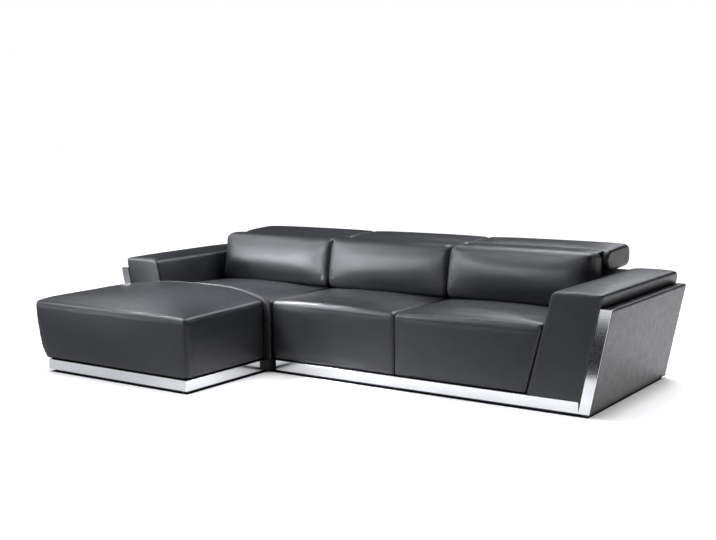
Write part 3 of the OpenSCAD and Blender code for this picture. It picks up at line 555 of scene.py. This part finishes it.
# runs the pressure of every pad in one go
def swellAll(states, look):
    for state in states:
        piece, rooms = state["piece"], state["rooms"]
        held = piece.vertex_groups.new(name="held")
        tucks = [look["heldTuck"] if room < look["heldRoom"] else look["freeTuck"] for room in rooms]
        moveAll([(v, v.normal * -tuck) for v, tuck in zip(piece.data.vertices, tucks)])
        held.add([i for i, room in enumerate(rooms) if room < look["heldRoom"]], 1.0, "REPLACE")
        cloth = piece.modifiers.new("swell", "CLOTH")
        cloth.settings.quality = look["quality"]
        cloth.settings.mass = look["mass"]
        cloth.settings.tension_stiffness = cloth.settings.compression_stiffness = look["stretch"]
        cloth.settings.shear_stiffness = look["shear"]
        cloth.settings.bending_stiffness = look["bend"]
        cloth.settings.use_pressure = True
        cloth.settings.uniform_pressure_force = look["pressure"]
        cloth.settings.effector_weights.gravity = 0
        cloth.settings.vertex_group_mass = "held"
        cloth.collision_settings.use_collision = False
        cloth.point_cache.frame_start = 1
        cloth.point_cache.frame_end = look["frames"]
    for step in range(1, look["frames"] + 1):
        scene.frame_set(step)
    for state in states:
        applyAll(state["piece"])
    scene.frame_set(1)


# evens out a settled pad's open faces, and leaves its ends and foot as they are
def calm(piece, rounds, look):
    coords = [v.co for v in piece.data.vertices]
    x0, x1, foot = min(c.x for c in coords), max(c.x for c in coords), min(c.z for c in coords)
    group = piece.vertex_groups.new(name="calm")
    for i, c in enumerate(coords):
        lengthwise = max(look["endShare"], min(c.x - x0, x1 - c.x) / look["endFade"])
        weight = min(1, (c.z - foot) / look["base"]) * min(1, lengthwise)
        group.add([i], max(0, weight), "REPLACE")
    even = piece.modifiers.new("calm", "SMOOTH")
    even.factor = smoothing
    even.iterations = rounds
    even.vertex_group = "calm"
    applyAll(piece)


def refine(piece):
    finer = piece.modifiers.new("finer", "SUBSURF")
    finer.levels = finer.render_levels = 1
    applyAll(piece)


covered = {}  # the finished leather piece of each node


def finishPad(piece, nodeName):
    body = nodeName.replace("_pad", "") if nodeName.startswith("headrest") else "sofa"
    dress(piece, leather, body)
    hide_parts(nodeName)
    covered[nodeName] = piece


states = {}
for nodeName, look in padLook.items():
    piece = evenMesh(meshPiece(nodeName + "_leather", nodeMesh(nodeName)), look)
    own, rooms = measureRoom(piece, nodeName, look["swell"])
    starts = [v.co.copy() for v in piece.data.vertices]
    states[nodeName] = {"piece": piece, "own": own, "rooms": rooms, "starts": starts}
    print("pad started", nodeName, len(piece.data.vertices))
swellAll(states.values(), swellLook)
print("pads swollen")
for nodeName, state in states.items():
    look, piece = padLook[nodeName], state["piece"]
    settle(piece, state["own"], state["rooms"], state["starts"], look["cap"])
    calm(piece, look["calm"], calmLook)
    refine(piece)
    finishPad(piece, nodeName)

# the arms and side panels are firmly covered: rounded edges, no swelling
for nodeName, look in tightLook.items():
    bm = roundedNode(nodeName, look["bevel"], bevelSteps)
    finishPad(evenMesh(meshPiece(nodeName + "_leather", bm), look), nodeName)

# the padded return that closes the corner beside the chaise, covered in the leather with painted shade
returnLook = {"low": (-0.4632, -0.2487, 0.0785), "high": (-0.4222, -0.2397, 0.455), "bevel": 0.0035}
dress(roundedBox("corner_return", returnLook), paintedShadeLeather, "sofa")
print("pads settled")

# Seams: where a plane cuts a pad the leather is pressed in, with a fine cord and a row of stitches

seamLook = {
    "band": 0.02,  # how far to each side of the plane the leather is looked at
    "reach": 0.013,
    "depth": 0.0022,
    "cord": 0.0013,
    "lift": -0.0002,
    "spacing": 0.006,
    "evenRounds": 3,
}
stitchLook = {
    "pitch": 0.0075,
    "length": 0.0052,
    "width": 0.0010,
    "aside": 0.0056,
    # along in lengths and up in widths
    "profile": ((-0.5, -0.35), (-0.38, 0.45), (0.38, 0.45), (0.5, -0.35)),
}
cordWork = {body: bmesh.new() for body in ("sofa", "headrest_left", "headrest_middle", "headrest_right")}
stitchWork = {body: bmesh.new() for body in cordWork}


# the indices of a piece's vertices within reach of a plane
def nearPlane(piece, spot, across, reach):
    spots = np.empty(len(piece.data.vertices) * 3)
    piece.data.vertices.foreach_get("co", spots)
    offsets = (spots.reshape(-1, 3) - np.array(spot)) @ np.array(Vector(across).normalized())
    return np.nonzero(np.abs(offsets) < reach)[0].tolist()


# the faces of a piece along a plane
def bandMesh(piece, spot, across):
    near = set(nearPlane(piece, spot, across, seamLook["band"]))
    bm = bmesh.new()
    made = {}
    for face in piece.data.polygons:
        corners = face.vertices
        if near.isdisjoint(corners):
            continue
        for i in corners:
            if i not in made:
                made[i] = bm.verts.new(piece.data.vertices[i].co)
        bm.faces.new([made[i] for i in corners])
    return bm


# whether a place is within limits such as minX or maxZ
def within(place, limits):
    for key, limit in limits.items():
        value = place["XYZ".index(key[-1])]
        if (value >= limit) if key.startswith("max") else (value <= limit):
            return False
    return True


# the longest line in which a plane cuts a piece, within limits
def cutPath(piece, spot, across, limits):
    bm = bandMesh(piece, spot, across)
    everything = bm.verts[:] + bm.edges[:] + bm.faces[:]
    cut = bmesh.ops.bisect_plane(bm, geom=everything, plane_co=spot, plane_no=across)["geom_cut"]
    bm.normal_update()
    edges = [g for g in cut if isinstance(g, bmesh.types.BMEdge)]
    edges = [e for e in edges if within((e.verts[0].co + e.verts[1].co) / 2, limits)]
    links = {}
    for edge in edges:
        for v in edge.verts:
            links.setdefault(v, []).append(edge)
    free = set(edges)

    def walk(v):
        chain = [v]
        while True:
            onward = [e for e in links[v] if e in free]
            if not onward:
                return chain
            free.discard(onward[0])
            v = onward[0].other_vert(v)
            chain.append(v)

    starts = [v for v in links if len(links[v]) == 1] + list(links)
    chains = [walk(v) for v in starts if any(e in free for e in links[v])]
    best = max(chains, key=lambda c: sum((p.co - q.co).length for p, q in zip(c, c[1:])))
    path = evenPath([v.co.copy() for v in best], [v.normal.copy() for v in best], best[0] == best[-1])
    bm.free()
    return path


# evenly spaced, lightly smoothed points along a line, each with the way up from the leather
def evenPath(points, normals, closed):
    runs = [0.0]
    for p, q in zip(points, points[1:]):
        runs.append(runs[-1] + (q - p).length)
    count = max(4, round(runs[-1] / seamLook["spacing"]))
    spots, ups, k = [], [], 0
    for i in range(count if closed else count + 1):
        at = runs[-1] * i / count
        while k < len(runs) - 2 and runs[k + 1] < at:
            k += 1
        t = min(1, (at - runs[k]) / max(1e-9, runs[k + 1] - runs[k]))
        spots.append(points[k].lerp(points[k + 1], t))
        ups.append(normals[k].lerp(normals[k + 1], t).normalized())
    for _ in range(seamLook["evenRounds"]):
        smooth = []
        for i, spot in enumerate(spots):
            if not closed and i in (0, len(spots) - 1):
                smooth.append(spot)
            else:
                smooth.append((spots[i - 1] + 2 * spot + spots[(i + 1) % len(spots)]) / 4)
        spots = smooth
    return {"spots": spots, "ups": ups, "closed": closed}


def pathTree(path):
    tree = KDTree(len(path["spots"]))
    for i, spot in enumerate(path["spots"]):
        tree.insert(spot, i)
    tree.balance()
    return tree


# draws the leather in along a path
def press(piece, near, path, depth):
    tree, reach = pathTree(path), seamLook["reach"]
    moves = []
    for v in (piece.data.vertices[i] for i in near):
        distance = tree.find(v.co)[2]
        if distance < reach:
            moves.append((v, v.normal * -depth * (1 - (distance / reach) ** 2) ** 2))
    moveAll(moves)


# small folds that run away from a path, as where leather is gathered into a seam
def pucker(piece, near, path, look, seed):
    tree = pathTree(path)
    moves = []
    for v in (piece.data.vertices[i] for i in near):
        _, i, distance = tree.find(v.co)
        if distance < look["reach"]:
            at = i * seamLook["spacing"] / look["pitch"]
            wander = noise.noise(Vector((at, seed, distance * look["drift"])))
            fade = distance / look["run"] * math.exp(1 - distance / look["run"])
            moves.append((v, v.normal * look["depth"] * fade * wander))
    moveAll(moves)


def addTube(bm, path, radius, lift, corners=6):
    spots, ups, closed = path["spots"], path["ups"], path["closed"]
    rings = []
    for i, (spot, up) in enumerate(zip(spots, ups)):
        before = spots[i - 1] if closed or i else spot
        after = spots[(i + 1) % len(spots)] if closed or i < len(spots) - 1 else spot
        along = (after - before).normalized()
        side = along.cross(up).normalized()
        top = side.cross(along)
        center = spot + top * lift
        turns = [2 * math.pi * k / corners for k in range(corners)]
        around = [(math.cos(t) * top + math.sin(t) * side) * radius for t in turns]
        rings.append([bm.verts.new(center + reach) for reach in around])
    for one, two in zip(rings, rings[1:] + ([rings[0]] if closed else [])):
        for k in range(corners):
            bm.faces.new((one[k], one[(k + 1) % corners], two[(k + 1) % corners], two[k]))
    if not closed:
        bm.faces.new(rings[0][::-1])
        bm.faces.new(rings[-1])


# short thread stitches beside a path, lying on the leather
def addStitches(bm, path, tree, look, side):
    spots, ups, step = path["spots"], path["ups"], seamLook["spacing"]
    for n in range(int((len(spots) - 1) * step / look["pitch"])):
        at = (n + 0.5) * look["pitch"] / step
        i = min(int(at), len(spots) - 2)
        along = (spots[i + 1] - spots[i]).normalized()
        aside = along.cross(ups[i]).normalized() * look["aside"] * side
        middle, up, _, _ = tree.find_nearest(spots[i].lerp(spots[i + 1], at - i) + aside)
        across = along.cross(up).normalized() * look["width"] / 2
        half = up * look["width"] / 2
        rings = []
        for reach, rise in look["profile"]:
            center = middle + along * reach * look["length"] + up * rise * look["width"]
            rings.append([bm.verts.new(center + q) for q in (across, half, -across, -half)])
        for one, two in zip(rings, rings[1:]):
            for k in range(4):
                bm.faces.new((one[k], two[k], two[(k + 1) % 4], one[(k + 1) % 4]))
        bm.faces.new(rings[0])
        bm.faces.new(rings[-1][::-1])


# one seam, kept where its limits say; stitched gives the sides of it that have stitches, 1 or -1
def seam(nodeName, spot, across, keep={}, stitched=(1,), depth=seamLook["depth"], folds=None):
    piece = covered[nodeName]
    body = body_of(piece)[0]
    path = cutPath(piece, spot, across, keep)
    press(piece, nearPlane(piece, spot, across, seamLook["reach"]), path, depth)
    if folds:
        seed = spot[0] * folds["seedStep"]
        pucker(piece, nearPlane(piece, spot, across, folds["reach"]), path, folds, seed)
    path = cutPath(piece, spot, across, keep)
    addTube(cordWork[body], path, seamLook["cord"], seamLook["lift"])
    tree = BVHTree.FromBMesh(bandMesh(piece, spot, across))
    for side in stitched:
        addStitches(stitchWork[body], path, tree, stitchLook, side)


chaiseSeams = (
    {"spot": (0, -0.936, 0.409), "across": (0, -0.025, 1), "keep": {"maxY": -0.28}},  # the front crease
    {  # the front corner on the right
        "spot": (-0.463, -0.936, 0),
        "across": (1, 1, 0),
        "keep": {"minX": -0.50, "maxY": -0.89, "maxZ": 0.40},
        "stitched": (),
    },
    {  # the front corner on the left, which leans
        "spot": (-1.744, -0.936, 0.424),
        "across": (0.334, -0.334, 0.074),
        "keep": {"maxX": -1.6, "maxY": -0.88, "maxZ": 0.40},
        "stitched": (),
    },
)
seatSeam = {"spot": (0, -0.229, 0.409), "across": (0, 0, 1), "keep": {"maxY": -0.21}, "depth": 0.0009}
armSeams = (
    {"spot": (0, -0.219, 0), "across": (0, 1, 0), "depth": 0.0012},  # round the front
    {  # across the top
        "spot": (0, -0.193, 0.62),
        "across": (0, 0.15, 0.035),
        "keep": {"minX": -1.5, "maxX": 1.5, "minZ": 0.4},
        "depth": 0.0012,
    },
)
cushionFolds = {"run": 0.017, "reach": 0.051, "depth": 0.0022, "pitch": 0.020, "drift": 6, "seedStep": 7}
cushionSeam = {"inset": 0.005, "stitched": (-1, 1), "depth": 0.001, "folds": cushionFolds}
cushionEnds = {"left": (-1.331, -0.426), "middle": (-0.422, 0.460), "right": (0.464, 1.369)}
headSeam = {"inset": 0.014}
headEnds = {"left": (-1.3487, -0.427), "middle": (-0.421, 0.459), "right": (0.465, 1.3866)}


# a seam round each end of a cushion or a headrest
def endSeams(nodeName, ends, inset, **rest):
    for x in (ends[0] + inset, ends[1] - inset):
        seam(nodeName, (x, 0, 0), (1, 0, 0), **rest)


for place in chaiseSeams:
    seam("chaise_pad", **place)
for side in ("middle", "right"):
    seam("seat_pad_" + side, **seatSeam)
for side in sides:
    endSeams("back_cushion_" + side, cushionEnds[side], **cushionSeam)
for side in sides:
    endSeams("headrest_pad_" + side, headEnds[side], **headSeam)
for side in ("left", "right"):
    for place in armSeams:
        seam(side + "_arm_pad", **place)

# the welt in the seam across the chaise
weltLook = {
    "from": -1.335,
    "to": -0.466,
    "y": -0.2472,
    "count": 90,
    "behind": (0.004, 0.012, 0.02),  # it lies as high as the chaise is at these distances before it
    "radius": 0.0036,
    "lift": 0.0005,
    "corners": 8,
}


def weltPath(look):
    tree = meshTree([covered["chaise_pad"].data])
    down = Vector((0, 0, -1))
    spots = []
    for i in range(look["count"]):
        x = look["from"] + (look["to"] - look["from"]) * i / (look["count"] - 1)
        tops = [tree.ray_cast(Vector((x, look["y"] - back, 1)), down)[0] for back in look["behind"]]
        heights = [top.z for top in tops if top] or [spots[-1].z]
        spots.append(Vector((x, look["y"], max(heights))))
    return evenPath(spots, [Vector((0, 0, 1))] * len(spots), False)


addTube(cordWork["sofa"], weltPath(weltLook), weltLook["radius"], weltLook["lift"], weltLook["corners"])

for body in cordWork:
    dress(meshPiece("seams_" + body, cordWork[body]), leather, body)
    dress(meshPiece("stitches_" + body, stitchWork[body]), thread, body)
print("seams sewn")

# Gussets that carry the leather from each back cushion's top over the gap to its headrest

gussetLook = {
    "from": 0.500,
    "to": 0.638,
    "inset": 0.016,  # from the cushion's ends
    "step": 0.012,
    "thick": 0.003,
    "lift": 0.0016,
    "tuck": 0.004,  # how far the edge goes under the leather
    "rim": 7,  # the edge slopes down over one seventh of the sheet
    "tautRounds": 60,
    "fallback": 0.7,  # height where nothing is below
}


# heights of a taut sheet over the cushion, the gap and the headrest: never below the leather under it
def tautHeights(side, xs, ys, look):
    tree = meshTree([covered[kind + side].data for kind in ("back_cushion_", "headrest_pad_")])
    heights = []
    for x in xs:
        hits = [tree.ray_cast(Vector((x, y, 1)), Vector((0, 0, -1)))[0] for y in ys]
        line = [hit.z if hit else look["fallback"] for hit in hits]
        for _ in range(look["tautRounds"]):
            inner = [max(line[j], (line[j - 1] + line[j + 1]) / 2) for j in range(1, len(line) - 1)]
            line = [line[0], *inner, line[-1]]
        heights.append(line)
    return heights


def makeGusset(side, ends, look):
    x0, x1 = ends[0] + look["inset"], ends[1] - look["inset"]
    columns = round((x1 - x0) / look["step"])
    rows = round((look["to"] - look["from"]) / look["step"])
    xs = [x0 + (x1 - x0) * i / columns for i in range(columns + 1)]
    ys = [look["from"] + (look["to"] - look["from"]) * j / rows for j in range(rows + 1)]
    heights = tautHeights(side, xs, ys, look)
    bm = bmesh.new()

    def corner(i, j, under):
        edge = min(i / columns, 1 - i / columns, j / rows, 1 - j / rows)
        rise = -look["tuck"] + (look["tuck"] + look["lift"]) * min(1, edge * look["rim"])
        return bm.verts.new((xs[i], ys[j], heights[i][j] + rise - under))

    def sheet(under):
        return [[corner(i, j, under) for j in range(rows + 1)] for i in range(columns + 1)]

    top, bottom = sheet(0), sheet(look["thick"])
    for i in range(columns):
        for j in range(rows):
            bm.faces.new((top[i][j], top[i + 1][j], top[i + 1][j + 1], top[i][j + 1]))
            bm.faces.new((bottom[i][j + 1], bottom[i + 1][j + 1], bottom[i + 1][j], bottom[i][j]))
    rim = [(i, 0) for i in range(columns)] + [(columns, j) for j in range(rows)]
    rim += [(i, rows) for i in range(columns, 0, -1)] + [(0, j) for j in range(rows, 0, -1)]
    for (i, j), (k, m) in zip(rim, rim[1:] + rim[:1]):
        bm.faces.new((top[i][j], bottom[i][j], bottom[k][m], top[k][m]))
    piece = meshPiece("gusset_" + side, bm)
    piece.data.materials.append(leather)
    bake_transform(piece, "sofa", "headrest_" + side, (0, 0.555, 0.76), (0, 0.625, 0.76))


for side, ends in cushionEnds.items():
    makeGusset(side, ends, gussetLook)
print("gussets ready")

# Firm panels and steel: the frame's own shapes with their edges rounded

edgeLook = {
    "back_cover_left": (0.004, leather, "leather"),
    "back_cover_right": (0.004, leather, "leather"),
    "rear_panel_left": (0.004, leather, "leather"),
    "rear_panel_right": (0.004, leather, "leather"),
    "chaise_plinth": (0.0006, polished, "polished_steel"),
    "sofa_plinth": (0.0006, polished, "polished_steel"),
    "left_upright": (0.0008, polished, "polished_steel"),
    "right_upright": (0.0008, polished, "polished_steel"),
}
edgeSteps = 3
for nodeName, (width, material, slotName) in edgeLook.items():
    bm = roundedNode(nodeName, width, edgeSteps)
    bmesh.ops.triangulate(bm, faces=bm.faces)
    piece = meshPiece(nodeName + "_finished", bm, False)
    dress(piece, material, "sofa")
    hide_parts(nodeName)
print("edges rounded")

# a steel end under each side panel's rear corner, beside its runner
footLook = {"low": (1.6322, 0.798, 0.0065), "high": (1.6425, 0.872, 0.0178), "bevel": 0.0006}
mirrorX = 0.0379388  # x of the left side's copy is this less x


def mirrored(look):
    (x0, *low), (x1, *high) = look["low"], look["high"]
    return {**look, "low": (mirrorX - x1, *low), "high": (mirrorX - x0, *high)}


dress(roundedBox("rear_foot_right", footLook), polished, "sofa")
dress(roundedBox("rear_foot_left", mirrored(footLook)), polished, "sofa")
print("steel ends in place")

# Stage: floor, world and lamps

floorLook = {
    "size": 40,
    "color": (0.80, 0.80, 0.81),
    "rough": 0.9,
    "glow": 0.72,  # so that the camera sees the floor white
    "farGlow": 1.0,
    "far": (2.0, 5.0),  # the glow changes between these distances from the middle
    # painted contact shade: the glow is darkened by ambient occlusion within this distance of anything above
    # the floor
    "glowGap": 0.14,  # the glow fades within this distance of anything above the floor
    # painted reflection: the glow that reflections see is set by distance and by place across x, less before
    # the chaise and more beside the right panel
    # what reflections see of the glow: all of it up to the first distance, none past the second
    "glossNear": (0.40, 0.70),
    # places across x and the share of the glow there, before the chaise and before the seats
    "nearShare": ((-0.75, 0.36), (-0.35, 0.85)),
    "farShare": ((-1.6, 0.0), (-0.7, 0.55)),
    # beside the right panel, a painted reflection in the panel's leather
    "sideShare": ((1.62, 0.0), (1.70, 0.85)),
}
# a dark sheet low on the floor, seen by reflections only: a painted dark reflection in the steel
reflectionCardLook = {
    "low": (0.2, -2.9, 0.001),
    "high": (1.7, -1.07, 0.001),
    "color": (0.03, 0.03, 0.035),
    "rough": 0.9,
}
# dark sheets of painted shade on the floor under the modules, where the floor gets no light
shadeLook = (
    {"low": (-1.635, -0.933, 0.0006), "high": (-0.464, 0.862, 0.0006)},
    {"low": (-0.464, -0.226, 0.0006), "high": (1.634, 0.862, 0.0006)},
)


def flatPlane(name, low, high):
    bm = bmesh.new()
    bmesh.ops.create_grid(bm, x_segments=1, y_segments=1, size=0.5)
    stretchBetween(bm, low, high)
    return meshPiece(name, bm, False)


def floorMaterial(look):
    s = Shader("studioFloor")
    path = s.add("ShaderNodeLightPath").outputs
    away = s.add("ShaderNodeVectorMath", operation="LENGTH")
    s.join(s.coords, away.inputs[0])
    split = s.add("ShaderNodeSeparateXYZ")
    s.join(s.coords, split.inputs[0])

    def acrossX(places):
        (leftX, left), (rightX, right) = places
        return s.remap(split.outputs["X"], left, right, leftX, rightX)

    # painted reflection: the share of the glow that reflections see, by ray length and by place
    near = s.remap(path["Ray Length"], 1, 0, *look["glossNear"])
    seen = s.maths("MULTIPLY", near, acrossX(look["nearShare"]))
    seen = s.maths("MAXIMUM", seen, acrossX(look["farShare"]))
    seen = s.maths("MULTIPLY", seen, path["Is Glossy Ray"])
    seen = s.maths("MAXIMUM", seen, path["Is Camera Ray"])
    seen = s.maths("MAXIMUM", seen, path["Is Transmission Ray"])
    # painted contact shade: the floor's glow is multiplied by ambient occlusion, so it darkens under and
    # beside the sofa
    paintedContactShade = s.add("ShaderNodeAmbientOcclusion", samples=8, Distance=look["glowGap"])
    strength = s.remap(away.outputs["Value"], look["glow"], look["farGlow"], *look["far"])
    s.join(strength, paintedContactShade.inputs["Color"])
    # painted reflection beside the right panel, seen by reflections only
    beside = s.maths("MULTIPLY", acrossX(look["sideShare"]), path["Is Glossy Ray"])
    glow = s.maths("MAXIMUM", s.maths("MULTIPLY", seen, paintedContactShade.outputs["Color"]), beside)
    s.set(Base_Color=look["color"], Roughness=look["rough"], Specular_IOR_Level=0.0)
    s.set(Emission_Color=(1.0, 1.0, 1.0), Emission_Strength=glow)
    return s.material


def makeFloor():
    size = floorLook["size"]
    floor = flatPlane("studioFloor", (-size, -size, 0), (size, size, 0))
    floor.data.materials.append(floorMaterial(floorLook))
    # one dark material for the painted reflection card and the painted shade sheets
    s = Shader("darkCard")
    s.set(Base_Color=reflectionCardLook["color"], Roughness=reflectionCardLook["rough"], Specular_IOR_Level=0.0)
    card = flatPlane("darkCard", reflectionCardLook["low"], reflectionCardLook["high"])
    # the card is a painted reflection: only reflections see it
    card.visible_camera = card.visible_diffuse = card.visible_shadow = False
    shades = [flatPlane(f"shade{i}", look["low"], look["high"]) for i, look in enumerate(shadeLook)]
    # the painted shade sheets are seen by the camera only
    for shade in shades:
        shade.visible_glossy = shade.visible_diffuse = False
    for dark in (card, *shades):
        dark.data.materials.append(s.material)


worldLook = {
    "sky": (0.045, 0.047, 0.05),
    "glow": (0.76, 0.78, 0.81),  # towards the front left, low down
    "towards": (-0.69, -0.72, 0.0),
}


def makeWorld(look):
    world = bpy.data.worlds.new("studioWorld")
    scene.world = world
    world.use_nodes = True
    tree = world.node_tree
    link = tree.links.new
    place = tree.nodes.new("ShaderNodeTexCoord")
    facing = tree.nodes.new("ShaderNodeVectorMath")
    facing.operation = "DOT_PRODUCT"
    facing.inputs[1].default_value = look["towards"]
    link(place.outputs["Generated"], facing.inputs[0])
    grade = tree.nodes.new("ShaderNodeMix")
    grade.data_type = "RGBA"
    grade.inputs["A"].default_value = (*look["sky"], 1)
    grade.inputs["B"].default_value = (*look["glow"], 1)
    link(facing.outputs["Value"], grade.inputs["Factor"])
    soft = tree.nodes["Background"]
    link(grade.outputs["Result"], soft.inputs["Color"])
    white = tree.nodes.new("ShaderNodeBackground")
    white.inputs["Color"].default_value = (1, 1, 1, 1)
    path = tree.nodes.new("ShaderNodeLightPath")
    mix = tree.nodes.new("ShaderNodeMixShader")
    link(path.outputs["Is Camera Ray"], mix.inputs[0])
    link(soft.outputs[0], mix.inputs[1])
    link(white.outputs[0], mix.inputs[2])
    link(mix.outputs[0], tree.nodes["World Output"].inputs["Surface"])


lampTint = (0.96, 0.98, 1.03)
lampLook = {  # place, target, width and height, spread in degrees, power in watts
    "back": ((0.5, 1.8, 3.6), (0.3, 0.2, 0.4), (3.0, 2.0), 180, 135),
    "key": ((-3.05, -0.9, 3.9), (-0.35, -0.3, 0.43), (1.3, 1.3), 180, 45),
    "left": ((-3.6, 0.8, 3.0), (-0.3, -0.1, 0.4), (1.5, 1.5), 180, 18),
    "front": ((-1.8, -3.4, 2.4), (0, 0.3, 0.6), (2.0, 0.8), 40, 5.0),
    "mid": ((-3.2, -2.0, 2.65), (-0.4, 0.33, 0.6), (1.8, 1.6), 44, 6.8),
    "low": ((-2.2, -1.0, 1.0), (-0.6, 0.33, 0.6), (1.0, 0.6), 60, 2.0),
    "sheen": ((-2.62, -2.9, 1.1), (-0.62, 0.33, 0.75), (0.85, 0.9), 13, 2.0),
    "accent": ((-3.05, -0.9, 3.9), (-0.55, -0.42, 0.44), (0.7, 0.7), 10, 4.6),
    "corner": ((-0.85, -0.72, 3.76), (1.55, -0.12, 0.64), (1.1, 1.1), 16, 1.8),
    "arm": ((0.2, -0.4, 4.2), (1.5, 0, 0.6), (1.3, 1.3), 180, 18),
    "right": ((1.0, 3.2, 2.2), (1.5, 0, 0.6), (1.3, 1.3), 180, 14),
}


def makeLamp(name, place, target, size, spread, power):
    data = bpy.data.lights.new(name + "Lamp", "AREA")
    data.shape = "RECTANGLE"
    data.size, data.size_y = size
    data.energy = power
    data.spread = math.radians(spread)
    data.color = lampTint
    lamp = bpy.data.objects.new(name + "Lamp", data)
    scene.collection.objects.link(lamp)
    aim = (Vector(target) - Vector(place)).to_track_quat("-Z", "Y")
    lamp.matrix_world = Matrix.Translation(place) @ aim.to_matrix().to_4x4()


makeFloor()
makeWorld(worldLook)
for lampName, settings in lampLook.items():
    makeLamp(lampName, *settings)
scene.view_settings.view_transform = "Standard"
print("stage ready")
